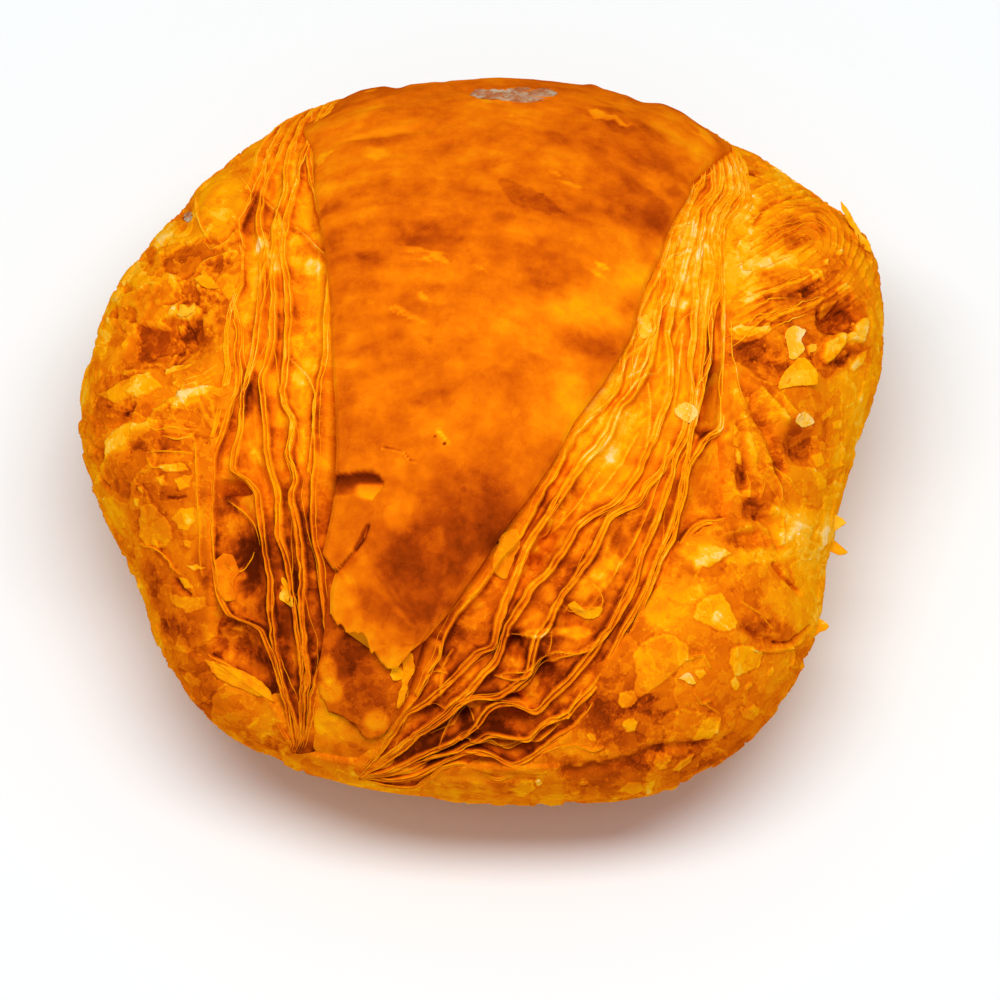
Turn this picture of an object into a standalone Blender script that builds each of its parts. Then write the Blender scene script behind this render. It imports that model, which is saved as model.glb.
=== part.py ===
"""A baked croissant: one roll of flaky dough, lying on the flat face it was baked on.

The form is drawn as it is seen from the front, looking down at VIEW_ELEVATION. Positions on it are
"across" (to the right) and "up" (towards the back), in millimetres from the middle of the outline.
"""

import math

import bmesh
import bpy
import numpy as np
from mathutils import Vector, noise

MM = 0.001

# Driving dimensions, in millimetres and degrees
SEEN_HALF_DEPTH = 58.0
HALF_WIDTH = 64.0
BODY_HALF_HEIGHT = 36.0
FLATTENED = 9.0
BASE_ROUNDING = 3.0
VIEW_ELEVATION = math.radians(62.0)
ORIGIN_ACROSS = 0.3
ORIGIN_BACK = 0.0

# The triangles that the solid keeps, after it was shaped on a finer ball
BALL_SUBDIVISIONS = 8
TRIANGLES_KEPT = 11400

# The outline from the front, as bearings in degrees and how far it reaches
OUTLINE = (
    (0, 60.8), (12, 65.5), (28, 70.0), (40, 65.5), (55, 62.0), (75, 58.5), (90, 57.0), (120, 60.5), (140, 60.5),
    (160, 63.5), (178, 64.0), (200, 59.5), (220, 61.0), (240, 60.0), (262, 57.5), (280, 58.5), (300, 62.5),
    (318, 63.5), (330, 61.5), (342, 58.0),
)

# Edges between the top crust and the two fans of cut layers, as (up, across)
CRUST_LEFT = ((58, -32), (44, -27), (25, -24), (0, -22.5), (-14, -23), (-28, -24), (-40, -27), (-51, -29))
CRUST_RIGHT = ((58, 44), (44, 34), (22, 25), (7, 17), (-8, 7), (-22, -1), (-34, -11), (-40, -11), (-54, -20))
FAN_LEFT_OUTER = (
    (58, -38), (40, -36), (25, -38.5), (8, -39), (-2, -44), (-16, -45), (-33, -43.5), (-40, -34), (-50, -30),
)
FAN_RIGHT_OUTER = (
    (58, 52), (44, 42.5), (26, 39.5), (2, 39), (-12, 40), (-24, 30), (-36, 20), (-45, 16), (-49, 10), (-55, 0),
)

# The ragged ends of the top crust and of the turn of dough under it, as (across, up)
CRUST_TIP = ((-25, -27.5), (-21, -29.5), (-16.5, -32), (-12, -36))
SECOND_TIP = ((-28, -41.5), (-23.5, -43.5), (-19.5, -47), (-14, -47.5))
TURN_THICKNESS = 1.2

# Relief of the large forms
CRUST_BULGE = 3.2
CRUST_EDGE_RISE = 1.0
FAN_SINK = 1.6
END_SWELL = 1.0
HIDDEN_SIDE_SHARE = 0.3
GAP_DEPTH_SHARE = 0.42
DEEPEST_GAP = 3.6

# Fans: how many gaps between leaves each has, how far a gap runs before it closes, and the widest ones
LEFT_GAPS = (0.8, 1.5, 0.7, 1.4, 0.8, 1.7, 0.9)
RIGHT_GAPS = (1.2, 0.8, 1.5, 0.7, 1.6, 0.9, 1.7, 0.8, 1.5, 1.0)
GAP_RUN = 34.0
GAP_CLOSED_SHARE = 0.22
GOLDEN_STEP = 0.618

# Right end: the coil of the roll's end, its hole, and the deep slit beside it
COIL_CENTRE = (51.0, 32.0)
COIL_ARM_END = (41.5, 23.0)
COIL_REACH = 11.5
COIL_PITCH = 2.6
COIL_GROOVE = 0.9
HOLE_CENTRE = (56.0, 19.0)
HOLE_RADII = (4.2, 3.4)
HOLE_DEPTH = 7.0
POCKET_CENTRE = (45.0, 13.0)
POCKET_RADII = (6.5, 3.6)
POCKET_DEPTH = 3.0
SLIT_ACROSS = 37.2
SLIT_ENDS = (3.0, 23.0)
SLIT_HALF_WIDTH = 1.7
SLIT_DEPTH = 3.4

# Left end: the open hollow with its torn edge, and the knob above it
HOLLOW_CENTRE = (-49.0, 16.0)
HOLLOW_RADII = (9.5, 6.0)
HOLLOW_DEPTH = 5.0
TORN_EDGE = ((-59, -2), (-54, 1.5), (-49, 5.5), (-43, 9))
TORN_EDGE_RISE = 1.8
KNOB_CENTRE = (-44.3, 37.5)
KNOB_RADIUS = 7.0
KNOB_RISE = 1.8

# Folds where one swelling of the ends meets the next, as start and end (across, up)
FOLDS = (
    ((-60, -19), (-42, -22), 2.0),
    ((-41, -34), (-31, -40), 1.5),
    ((-57, 27), (-40, 27), 1.4),
    ((60, -19), (35, -15), 2.2),
    ((56, -2), (42, 2), 1.2),
    ((44, -47), (20, -50), 1.2),
)
FOLD_HALF_WIDTH = 2.4

# Uneven proving of the dough
LUMP_SIZE = 16.0
LUMP_HEIGHT = 0.9
PUCKER_SIZE = 4.5
PUCKER_HEIGHT = 0.35

CRUST_COLOUR = (0.78, 0.26, 0.02, 1.0)
CRUST_ROUGHNESS = 0.5


def clear_scene():
    for obj in list(bpy.data.objects):
        bpy.data.objects.remove(obj)


def smooth_step(low, high, values):
    share = np.clip((values - low) / (high - low), 0.0, 1.0)
    return share * share * (3.0 - 2.0 * share)


def curve_through(points, at):
    """A smooth curve through points (position, value), read at the given positions."""
    points = sorted(points)
    xs = np.array([p[0] for p in points], float)
    ys = np.array([p[1] for p in points], float)
    slopes = np.gradient(ys, xs)
    at = np.clip(at, xs[0], xs[-1])
    index = np.clip(np.searchsorted(xs, at) - 1, 0, len(xs) - 2)
    span = xs[index + 1] - xs[index]
    t = (at - xs[index]) / span
    start = (1 + 2 * t) * (1 - t) ** 2 * ys[index] + t * (1 - t) ** 2 * span * slopes[index]
    end = t * t * (3 - 2 * t) * ys[index + 1] + t * t * (t - 1) * span * slopes[index + 1]
    return start + end


def outline_reach(bearing):
    """How far the outline reaches at a bearing in radians."""
    knots = [(angle - 360, reach) for angle, reach in OUTLINE[-3:]]
    knots += list(OUTLINE)
    knots += [(angle + 360, reach) for angle, reach in OUTLINE[:3]]
    return curve_through(knots, np.degrees(bearing) % 360.0)


def body_sizes():
    """The half depth of the body on its own floor, and the tilt and half thickness along the view."""
    sin_e = math.sin(VIEW_ELEVATION)
    cos_e = math.cos(VIEW_ELEVATION)
    half_depth = math.sqrt(SEEN_HALF_DEPTH**2 - (BODY_HALF_HEIGHT * cos_e) ** 2) / sin_e
    tilt = (half_depth**2 - BODY_HALF_HEIGHT**2) * sin_e * cos_e / SEEN_HALF_DEPTH**2
    thickness = half_depth * BODY_HALF_HEIGHT / SEEN_HALF_DEPTH
    return half_depth, tilt, thickness


def plain_body(directions):
    """The smooth bun that the relief is cut into: across, up, world points and outward normals."""
    half_depth, tilt, thickness = body_sizes()
    bearing = np.arctan2(directions[:, 1], directions[:, 0])
    towards_view = np.clip(directions[:, 2], -1.0, 1.0)
    share = np.sqrt(1.0 - towards_view**2)
    reach = outline_reach(bearing)
    across = reach * share * np.cos(bearing)
    up = reach * share * np.sin(bearing)
    near = thickness * towards_view - tilt * up
    sin_e = math.sin(VIEW_ELEVATION)
    cos_e = math.cos(VIEW_ELEVATION)
    back = up * sin_e - near * cos_e
    height = up * cos_e + near * sin_e
    points = np.stack([across, back, height], axis=1)
    normals = points / np.array([HALF_WIDTH, half_depth, BODY_HALF_HEIGHT]) ** 2
    normals /= np.linalg.norm(normals, axis=1)[:, None]
    return across, up, points, normals


def noise_at(points, size, seed):
    """Smooth noise from -1 to 1 at points in millimetres, with lumps of the given size."""
    shift = Vector((seed * 17.3, seed * 5.1, seed * 9.7))
    return np.array([noise.noise(Vector(point) / size + shift) for point in points.tolist()])


def leaf_positions(gap_sizes, up, seed):
    """Where each leaf's edge stands across a fan, from 0 to 1, as gaps open and close along it."""
    gaps = []
    for number, size in enumerate(gap_sizes):
        phase = (number * GOLDEN_STEP + seed) % 1.0
        run = GAP_RUN * (0.75 + 0.5 * ((number * GOLDEN_STEP * 2) % 1.0))
        opening = 0.5 + 0.5 * np.sin(2 * math.pi * (up / run + phase))
        gaps.append(size * (GAP_CLOSED_SHARE + (1 - GAP_CLOSED_SHARE) * opening))
    gaps = np.array(gaps)
    edges = np.cumsum(gaps, axis=0) / gaps.sum(axis=0)
    return np.concatenate([np.zeros((1, len(up))), edges])


def fan_relief(across, up, inner, outer, gap_sizes, seed):
    """The valleys between a fan's leaves, and 1 inside the fan."""
    inner_edge = curve_through(inner, up)
    outer_edge = curve_through(outer, up)
    share = (across - inner_edge) / (outer_edge - inner_edge)
    edges = leaf_positions(gap_sizes, up, seed)
    depth = np.zeros_like(up)
    for lower, upper in zip(edges[:-1], edges[1:]):
        gap = np.abs(upper - lower) * np.abs(outer_edge - inner_edge)
        place = np.clip((share - lower) / np.maximum(upper - lower, 1e-6), 0.0, 1.0)
        bowl = np.sqrt(np.clip(1.0 - (2.0 * place - 1.0) ** 2, 0.0, 1.0))
        depth += np.minimum(GAP_DEPTH_SHARE * gap, DEEPEST_GAP) * bowl
    inside = smooth_step(-0.04, 0.04, share) * smooth_step(-0.09, 0.09, 1.0 - share)
    return depth * inside, inside


def oval(across, up, centre, radii):
    """The distance from an oval's centre, 1 on its rim."""
    return np.hypot((across - centre[0]) / radii[0], (up - centre[1]) / radii[1])


def near_segment(across, up, start, end):
    """Distance from a straight fold, and the share of the way along it."""
    run = np.subtract(end, start)
    along = ((across - start[0]) * run[0] + (up - start[1]) * run[1]) / (run @ run)
    along = np.clip(along, 0.0, 1.0)
    distance = np.hypot(across - start[0] - along * run[0], up - start[1] - along * run[1])
    return distance, along


def crust_relief(across, up):
    """The bulging top crust, its ragged tip and the turn of dough below it."""
    left = curve_through(CRUST_LEFT, up)
    right = curve_through(CRUST_RIGHT, up)
    inside = smooth_step(-0.6, 0.6, across - left) * smooth_step(-0.6, 0.6, right - across)
    half = np.maximum((right - left) / 2, 1.0)
    middle = np.clip(1.0 - ((across - left - half) / half) ** 2, 0.0, 1.0)
    rise = CRUST_EDGE_RISE + CRUST_BULGE * middle**0.7 * np.minimum(half / 25.0, 1.0)
    below_tip = smooth_step(0.5, -0.5, up - curve_through(CRUST_TIP, across))
    below_second = smooth_step(0.5, -0.5, up - curve_through(SECOND_TIP, across))
    step = TURN_THICKNESS * (below_tip + below_second)
    return inside * (rise - step), inside


def coil_relief(across, up):
    """The grooves between the turns of dough at the roll's open right end."""
    distance, _ = near_segment(across, up, COIL_CENTRE, COIL_ARM_END)
    bearing = np.arctan2(up - COIL_CENTRE[1], across - COIL_CENTRE[0])
    turn = distance / COIL_PITCH - bearing / (2 * math.pi)
    groove = (0.5 + 0.5 * np.cos(2 * math.pi * turn)) ** 2
    inside = smooth_step(COIL_REACH, COIL_REACH - 2.0, distance)
    return -COIL_GROOVE * groove * inside


def end_relief(across, up):
    """The hollows, knob, slit and folds of the two ends."""
    relief = coil_relief(across, up)
    relief -= HOLE_DEPTH * smooth_step(1.15, 0.55, oval(across, up, HOLE_CENTRE, HOLE_RADII))
    relief -= POCKET_DEPTH * smooth_step(1.2, 0.3, oval(across, up, POCKET_CENTRE, POCKET_RADII))
    relief -= HOLLOW_DEPTH * smooth_step(1.15, 0.25, oval(across, up, HOLLOW_CENTRE, HOLLOW_RADII))
    knob = oval(across, up, KNOB_CENTRE, (KNOB_RADIUS, KNOB_RADIUS))
    relief += KNOB_RISE * np.sqrt(np.clip(1.0 - knob**2, 0.0, 1.0)) - 0.6 * np.exp(-((knob - 1.1) * 6) ** 2)
    torn = up - curve_through(TORN_EDGE, across)
    beside = smooth_step(-60, -56, across) * smooth_step(-39, -45, across)
    relief += TORN_EDGE_RISE * beside * smooth_step(0.6, -0.6, torn) * smooth_step(-14, -3, torn)
    slit_side = np.abs(across - SLIT_ACROSS) / SLIT_HALF_WIDTH
    slit_run = smooth_step(SLIT_ENDS[0] - 1, SLIT_ENDS[0] + 1, up) * smooth_step(SLIT_ENDS[1], SLIT_ENDS[1] - 8, up)
    relief -= SLIT_DEPTH * smooth_step(1.2, 0.4, slit_side) * slit_run
    for start, end, depth in FOLDS:
        distance, along = near_segment(across, up, start, end)
        relief -= depth * np.exp(-((distance / FOLD_HALF_WIDTH) ** 2)) * (1.0 - 0.6 * along)
    return relief


def surface_relief(across, up, points, towards_view):
    """How far the surface stands out of the plain body, in millimetres, at every point."""
    sharp = HIDDEN_SIDE_SHARE + (1.0 - HIDDEN_SIDE_SHARE) * smooth_step(0.0, 0.45, towards_view)
    faces_view = smooth_step(-0.35, 0.05, towards_view)
    crust, in_crust = crust_relief(across, up)
    left_depth, in_left = fan_relief(across, up, CRUST_LEFT, FAN_LEFT_OUTER, LEFT_GAPS, 0.15)
    right_depth, in_right = fan_relief(across, up, CRUST_RIGHT, FAN_RIGHT_OUTER, RIGHT_GAPS, 0.4)
    in_fans = np.clip(in_left + in_right, 0.0, 1.0) * (1.0 - in_crust)
    in_ends = np.clip(1.0 - in_crust - in_fans, 0.0, 1.0)
    relief = sharp * (crust + END_SWELL * in_ends - (FAN_SINK + left_depth + right_depth) * in_fans)
    relief += np.maximum(in_ends, 0.3) * end_relief(across, up) * faces_view
    lumps = noise_at(points, LUMP_SIZE, 1)
    puckers = noise_at(points, PUCKER_SIZE, 2)
    return relief + LUMP_HEIGHT * lumps + PUCKER_HEIGHT * puckers * (1.0 - 0.7 * in_crust)


def resting(points):
    """Sets the body on its floor, with the flat face that it was baked on."""
    height = points[:, 2] + BODY_HALF_HEIGHT - FLATTENED
    rounded = (height + BASE_ROUNDING) ** 2 / (4 * BASE_ROUNDING)
    flat = np.where(height < -BASE_ROUNDING, 0.0, np.where(height > BASE_ROUNDING, height, rounded))
    return np.stack([points[:, 0] - ORIGIN_ACROSS, points[:, 1] - ORIGIN_BACK, flat], axis=1)


def baked_surface(directions):
    """World positions, in millimetres, of the points of a ball once it is shaped as the croissant."""
    across, up, points, normals = plain_body(directions)
    relief = surface_relief(across, up, points, directions[:, 2])
    return resting(points + normals * relief[:, None])


def crust_material():
    material = bpy.data.materials.new("baked_crust")
    material.use_nodes = True
    shader = material.node_tree.nodes["Principled BSDF"]
    shader.inputs["Base Color"].default_value = CRUST_COLOUR
    shader.inputs["Roughness"].default_value = CRUST_ROUGHNESS
    shader.inputs["Metallic"].default_value = 0.0
    return material


def make_croissant(collection):
    """Shapes a fine ball as the croissant, then lets Decimate keep triangles where the relief is."""
    mesh = bpy.data.meshes.new("croissant")
    ball = bmesh.new()
    bmesh.ops.create_icosphere(ball, subdivisions=BALL_SUBDIVISIONS, radius=1.0)
    directions = np.array([vertex.co.normalized() for vertex in ball.verts])
    for vertex, place in zip(ball.verts, baked_surface(directions) * MM):
        vertex.co = place
    triangles = len(ball.faces)
    ball.to_mesh(mesh)
    ball.free()
    mesh.shade_smooth()
    mesh.materials.append(crust_material())
    croissant = bpy.data.objects.new("croissant", mesh)
    collection.objects.link(croissant)
    fewer = croissant.modifiers.new("fewer triangles", "DECIMATE")
    fewer.ratio = TRIANGLES_KEPT / triangles
    return croissant


def main():
    clear_scene()
    collection = bpy.data.collections.new("ham and cheese croissant")
    bpy.context.scene.collection.children.link(collection)
    make_croissant(collection)


main()
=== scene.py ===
# %% [markdown]
# # A ham and cheese croissant, baked and whole
# The real thing is one roll of flaky dough, lying on the side it was baked on. Its outer turn is a smooth,
# egg-washed crust. Beside that crust the cut edges of the lower turns have opened into two fans of thin
# leaves, and the two ends are puffed, blistered and torn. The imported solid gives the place, the size and
# the large form. This script makes the fine surface over it, piece by piece.

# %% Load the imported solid
import math

import bmesh
import bpy
import numpy as np
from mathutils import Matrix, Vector
from mathutils.bvhtree import BVHTree


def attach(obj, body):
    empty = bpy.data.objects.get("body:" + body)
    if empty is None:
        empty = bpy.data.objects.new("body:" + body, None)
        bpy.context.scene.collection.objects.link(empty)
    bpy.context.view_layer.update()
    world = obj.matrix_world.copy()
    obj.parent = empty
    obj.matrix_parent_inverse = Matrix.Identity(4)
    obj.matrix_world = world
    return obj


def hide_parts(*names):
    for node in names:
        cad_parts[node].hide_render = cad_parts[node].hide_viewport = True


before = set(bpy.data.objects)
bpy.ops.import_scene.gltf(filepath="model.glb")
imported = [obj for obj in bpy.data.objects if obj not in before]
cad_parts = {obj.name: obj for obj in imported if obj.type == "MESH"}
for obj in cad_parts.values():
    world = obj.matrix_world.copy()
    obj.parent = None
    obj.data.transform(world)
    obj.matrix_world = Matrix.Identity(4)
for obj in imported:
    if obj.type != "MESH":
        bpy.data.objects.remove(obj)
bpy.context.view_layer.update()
MM = 0.001

# %% [markdown]
# ## Reading the photograph
# Places on the croissant are read off the photograph, in pixels of its 1000 by 1000 frame, and turned into
# millimetres across and up from the middle of the outline. One pixel is 0.16 mm, which makes a croissant of
# 129 mm. The camera looks down on it at 62 degrees, so "across" and "up" are directions of the picture, and
# a third number says how near to the camera a point is. The readings are kept as rows of text, with a
# semicolon between two rows: first the places, each as x,y, and then the numbers that belong to the row.

# %% From pixels to millimetres
PIXEL = 0.16
MIDDLE_PX = (480.0, 442.0)
LOOK_DOWN = math.radians(62.0)
SIN_LOOK = math.sin(LOOK_DOWN)
COS_LOOK = math.cos(LOOK_DOWN)


def from_photo(points):
    """Pixels of the photograph, as millimetres across and up."""
    points = np.asarray(points, float)
    across = (points[..., 0] - MIDDLE_PX[0]) * PIXEL
    up = (MIDDLE_PX[1] - points[..., 1]) * PIXEL
    return np.stack([across, up], axis=-1)


def to_photo(seen):
    """Millimetres across and up, as pixels of the photograph, x and y."""
    return seen[..., 0] / PIXEL + MIDDLE_PX[0], MIDDLE_PX[1] - seen[..., 1] / PIXEL


def photo_rows(text):
    """Rows of readings: the places of each, then its own numbers."""
    rows = []
    for row in text.split(";"):
        items = [[float(number) for number in item.split(",")] for item in row.split()]
        places = tuple(tuple(item) for item in items if len(item) == 2)
        rows.append((places, *[item[0] for item in items if len(item) == 1]))
    return rows


def photo_lines(text):
    """Rows of readings that are lines only, with no numbers of their own."""
    return [places for (places,) in photo_rows(text)]


def smooth_step(low, high, values):
    """0 below low and 1 above high, with a smooth rise between. With low above high it falls instead."""
    share = np.clip((values - low) / (high - low), 0.0, 1.0)
    return share * share * (3.0 - 2.0 * share)


print("one pixel of the photograph is", PIXEL, "mm")

# %% [markdown]
# ## The plain bun
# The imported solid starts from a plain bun: an uneven outline, half as thick as it is wide, tilted so that
# it lies flat on the floor. The same bun is worked out again here, because every finer piece is laid over
# it. A "chart" unrolls it, as a map unrolls a globe: the middle of the chart is the point that faces the
# camera, and the distance on the chart is the distance along the bun. Lines drawn on the chart can then run
# on over the back, where the photograph doesn't reach.

# %% The bun and its chart
# Bearing in degrees, and how far the outline reaches there, in mm
OUTLINE = (
    (0, 60.8), (12, 65.5), (28, 70.0), (40, 65.5), (55, 62.0), (75, 58.5), (90, 57.0), (120, 60.5),
    (140, 60.5), (160, 63.5), (178, 64.0), (200, 59.5), (220, 61.0), (240, 60.0), (262, 57.5), (280, 58.5),
    (300, 62.5), (318, 63.5), (330, 61.5), (342, 58.0),
)
# Sizes of the bun in mm: half its depth as the camera sees it, half its width and height, how much of its
# base is flattened, how softly that face goes over into the sides, and how far its middle is off the frame's
SEEN_HALF_DEPTH = 58.0
HALF_WIDTH = 64.0
BUN_HALF_HEIGHT = 36.0
FLATTENED = 9.0
BASE_ROUNDING = 3.0
ORIGIN_ACROSS = 0.3
# How near to the outline and to the back pole a place may come, so that no two places fall together
OUTERMOST = 0.9995
BUN_HALF_DEPTH = math.sqrt(SEEN_HALF_DEPTH**2 - (BUN_HALF_HEIGHT * COS_LOOK) ** 2) / SIN_LOOK
BUN_TILT = (BUN_HALF_DEPTH**2 - BUN_HALF_HEIGHT**2) * SIN_LOOK * COS_LOOK / SEEN_HALF_DEPTH**2
BUN_THICKNESS = BUN_HALF_DEPTH * BUN_HALF_HEIGHT / SEEN_HALF_DEPTH
LAST_TURN = OUTERMOST * math.pi
QUARTER_TURN = math.pi / 2


def polar(radius, bearing):
    """Distances and bearings from a middle as places across and up."""
    return np.stack([radius * np.cos(bearing), radius * np.sin(bearing)], axis=-1)


def curve_through(points, at):
    """A smooth curve through points (position, value), read at the given positions."""
    points = sorted(points)
    xs = np.array([p[0] for p in points], float)
    ys = np.array([p[1] for p in points], float)
    slopes = np.gradient(ys, xs)
    at = np.clip(at, xs[0], xs[-1])
    index = np.clip(np.searchsorted(xs, at) - 1, 0, len(xs) - 2)
    span = xs[index + 1] - xs[index]
    t = (at - xs[index]) / span
    start = (1 + 2 * t) * (1 - t) ** 2 * ys[index] + t * (1 - t) ** 2 * span * slopes[index]
    end = t * t * (3 - 2 * t) * ys[index + 1] + t * t * (t - 1) * span * slopes[index + 1]
    return start + end


def outline_reach(bearing):
    """How far the outline reaches at a bearing in radians."""
    knots = [(angle - 360, reach) for angle, reach in OUTLINE[-3:]]
    knots += list(OUTLINE)
    knots += [(angle + 360, reach) for angle, reach in OUTLINE[:3]]
    return curve_through(knots, np.degrees(bearing) % 360.0)


def chart_of(seen):
    """Places in the picture, in millimetres, as places on the chart."""
    bearing = np.arctan2(seen[..., 1], seen[..., 0])
    reach = outline_reach(bearing)
    share = np.clip(np.hypot(seen[..., 0], seen[..., 1]) / reach, 0.0, OUTERMOST)
    return polar(reach * np.arcsin(share) / QUARTER_TURN, bearing)


def on_bun(chart):
    """Where chart places are seen, their points on the bun, outward directions, and how much they face us."""
    bearing = np.arctan2(chart[..., 1], chart[..., 0])
    reach = outline_reach(bearing)
    turn = np.clip(np.hypot(chart[..., 0], chart[..., 1]) / reach * QUARTER_TURN, 0.0, LAST_TURN)
    across = reach * np.sin(turn) * np.cos(bearing)
    up = reach * np.sin(turn) * np.sin(bearing)
    near = BUN_THICKNESS * np.cos(turn) - BUN_TILT * up
    points = np.stack([across, up * SIN_LOOK - near * COS_LOOK, up * COS_LOOK + near * SIN_LOOK], axis=-1)
    outward = points / np.array([HALF_WIDTH, BUN_HALF_DEPTH, BUN_HALF_HEIGHT]) ** 2
    outward /= np.linalg.norm(outward, axis=-1)[..., None]
    return np.stack([across, up], axis=-1), points, outward, np.cos(turn)


def at_rest(points):
    """Points of the bun in the row frame, in metres, with the face that it was baked on flattened."""
    height = points[..., 2] + BUN_HALF_HEIGHT - FLATTENED
    rounded = (height + BASE_ROUNDING) ** 2 / (4 * BASE_ROUNDING)
    flat = np.where(height < -BASE_ROUNDING, 0.0, np.where(height > BASE_ROUNDING, height, rounded))
    return np.stack([points[..., 0] - ORIGIN_ACROSS, points[..., 1], flat], axis=-1) * MM


print("plain bun:", round(2 * HALF_WIDTH), "by", round(2 * BUN_HALF_DEPTH), "mm")

# %% [markdown]
# ## Unevenness
# Dough is never even. One noise, made from random numbers on a grid with smooth steps between them, gives
# every lump, wrinkle and ragged edge here. It has a fixed seed, so each run bakes the same croissant. What
# the photograph shows at one place is laid over it as ovals, lines and patches with soft or ragged rims.

# %% Smooth noise on a grid
def grid_noise(places, size, seed):
    """Smooth noise from -1 to 1, with lumps of the given size in millimetres."""
    scaled = np.asarray(places, float) / size + seed * 7.31
    cell = np.floor(scaled).astype(np.int64)
    part = scaled - cell
    part = part * part * (3.0 - 2.0 * part)
    total = np.zeros(scaled.shape[:-1])
    dimensions = scaled.shape[-1]
    for corner in range(2**dimensions):
        mixed = np.full(total.shape, seed * 1013 + 12345, np.int64)
        weight = np.ones_like(total)
        for axis in range(dimensions):
            step = (corner >> axis) & 1
            mixed = (mixed ^ (cell[..., axis] + step)) * 1103515245 + 12345
            mixed = (mixed ^ (mixed >> 15)) & 0x7FFFFFFF
            weight = weight * (part[..., axis] if step else 1.0 - part[..., axis])
        total += weight * ((mixed % 20011) / 10005.0 - 1.0)
    return total


def layered_noise(places, size, seed, layers=3):
    """Noise on noise, each layer half the size and half the strength of the one before."""
    places = np.asarray(places, float)
    shares = [0.5**layer for layer in range(layers)]
    waves = [share * grid_noise(places, size * share, seed + layer) for layer, share in enumerate(shares)]
    return sum(waves) / sum(shares)


def noise_pair(places, size, seed, layers):
    """Two noises, to push places about both across and up."""
    return np.stack([layered_noise(places, size, seed + axis, layers) for axis in (0, 1)], axis=-1)


def on_line(distances, lane=0.0):
    """Distances along a line as places for the noise. Lines in different lanes get different noise."""
    return np.stack([distances, np.full_like(distances, lane)], axis=-1)


# %% Ovals, lines and patches of the photograph
def turned_axes(places, degrees):
    """Distances along a direction, given in degrees anticlockwise from across, and beside it."""
    angle = math.radians(degrees)
    along = places[..., 0] * math.cos(angle) + places[..., 1] * math.sin(angle)
    beside = places[..., 1] * math.cos(angle) - places[..., 0] * math.sin(angle)
    return along, beside


def oval(seen, shape_px, turned=0.0):
    """Distance from an oval (centre and radii in pixels, and angle in degrees), 1 on its rim."""
    centre, radii = shape_px
    along, beside = turned_axes(seen - from_photo(centre), turned)
    return np.hypot(along / (radii[0] * PIXEL), beside / (radii[1] * PIXEL))


def marks_at(seen, marks, softness=0.5):
    """The sum of soft darker and paler spots."""
    total = np.zeros(seen.shape[:-1])
    for shape_px, turned, strength in marks:
        total += strength * smooth_step(1.0 + softness, 1.0 - softness, oval(seen, shape_px, turned))
    return total


def line_distance(seen, start_px, end_px):
    """Distance in mm from a straight mark, and the side (above 0 on the left of its run)."""
    start = from_photo(start_px)
    run = from_photo(end_px) - start
    offset = seen - start
    along = np.clip((offset @ run) / (run @ run), 0.0, 1.0)
    away = offset - along[..., None] * run
    side = run[0] * offset[..., 1] - run[1] * offset[..., 0]
    return np.hypot(away[..., 0], away[..., 1]), np.sign(side)


def line_field(seen, line_px):
    """Distance in mm from a broken line, and the side (1 on the left of its run, -1 on the right)."""
    nearest = np.full(seen.shape[:-1], 1e9)
    side = np.zeros(seen.shape[:-1])
    for start, end in zip(line_px[:-1], line_px[1:]):
        away, which = line_distance(seen, start, end)
        closer = away < nearest
        nearest = np.where(closer, away, nearest)
        side = np.where(closer, which, side)
    return nearest, side


def scuff_and_sheen_strokes(seen, scuffs_and_sheen, seed):
    """1 on fine pale strokes of rubbed places and painted sheen: ovals, and the angle of their strokes."""
    total = np.zeros(seen.shape[:-1])
    for shape_px, turned in scuffs_and_sheen:
        along, beside = turned_axes(seen, turned)
        strokes = layered_noise(np.stack([0.22 * along, beside], axis=-1), 0.7, seed, 3)
        rubbed = smooth_step(1.3, 0.5, oval(seen, shape_px, turned))
        total = np.maximum(total, smooth_step(-0.05, 0.2, strokes) * rubbed)
    return total


def close_to(seen, line, reach):
    """Which places lie in the box round a line, or up to reach mm outside it."""
    return ((seen > line.min(axis=0) - reach) & (seen < line.max(axis=0) + reach)).all(axis=-1)


FAR_OUTSIDE = -9.0


def patch_field(seen, corners_px):
    """Distance in mm from the rim of a patch, above 0 inside it. Far places just get FAR_OUTSIDE."""
    field = np.full(seen.shape[:-1], FAR_OUTSIDE)
    corners = from_photo(corners_px)
    near = close_to(seen, corners, 2.0)
    places = seen[near]
    away, _ = line_field(places, corners_px + corners_px[:1])
    inside = np.zeros(len(places), bool)
    for (x0, y0), (x1, y1) in zip(corners, np.roll(corners, -1, axis=0)):
        between = (places[:, 1] > y0) != (places[:, 1] > y1)
        crossing = x0 + (places[:, 1] - y0) / (y1 - y0 + 1e-9) * (x1 - x0)
        inside ^= between & (places[:, 0] < crossing)
    field[near] = np.where(inside, away, -away)
    return field


def line_form(seen, line_px, width):
    """1 on a line, falling to 0 over about twice the width in mm."""
    form = np.zeros(seen.shape[:-1])
    near = close_to(seen, from_photo(line_px), 3.0 * width + 0.5)
    away, _ = line_field(seen[near], line_px)
    form[near] = np.exp(-((away / width) ** 2))
    return form


# %% [markdown]
# ## Closed pieces from grids
# Each fine piece is a grid of points that lies over the bun, with two rails deep below its sides, so that
# it closes into a solid. Each point also keeps a number as an attribute, its browning: from pale raw dough
# to burnt, which the materials read. The same number also carries painted shade and painted highlights.

# %% Build a closed piece
RAILS = 2
# Rails stay this far above the floor, in metres, so that they never share a place with the flat base
ABOVE_FLOOR = 0.4 * MM


def riding_piece(name, mesh):
    """An object at the origin, smooth, riding on the croissant."""
    mesh.shade_smooth()
    piece = bpy.data.objects.new(name, mesh)
    bpy.context.scene.collection.objects.link(piece)
    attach(piece, "root")
    print(name, len(mesh.polygons), "faces")
    return piece


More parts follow.
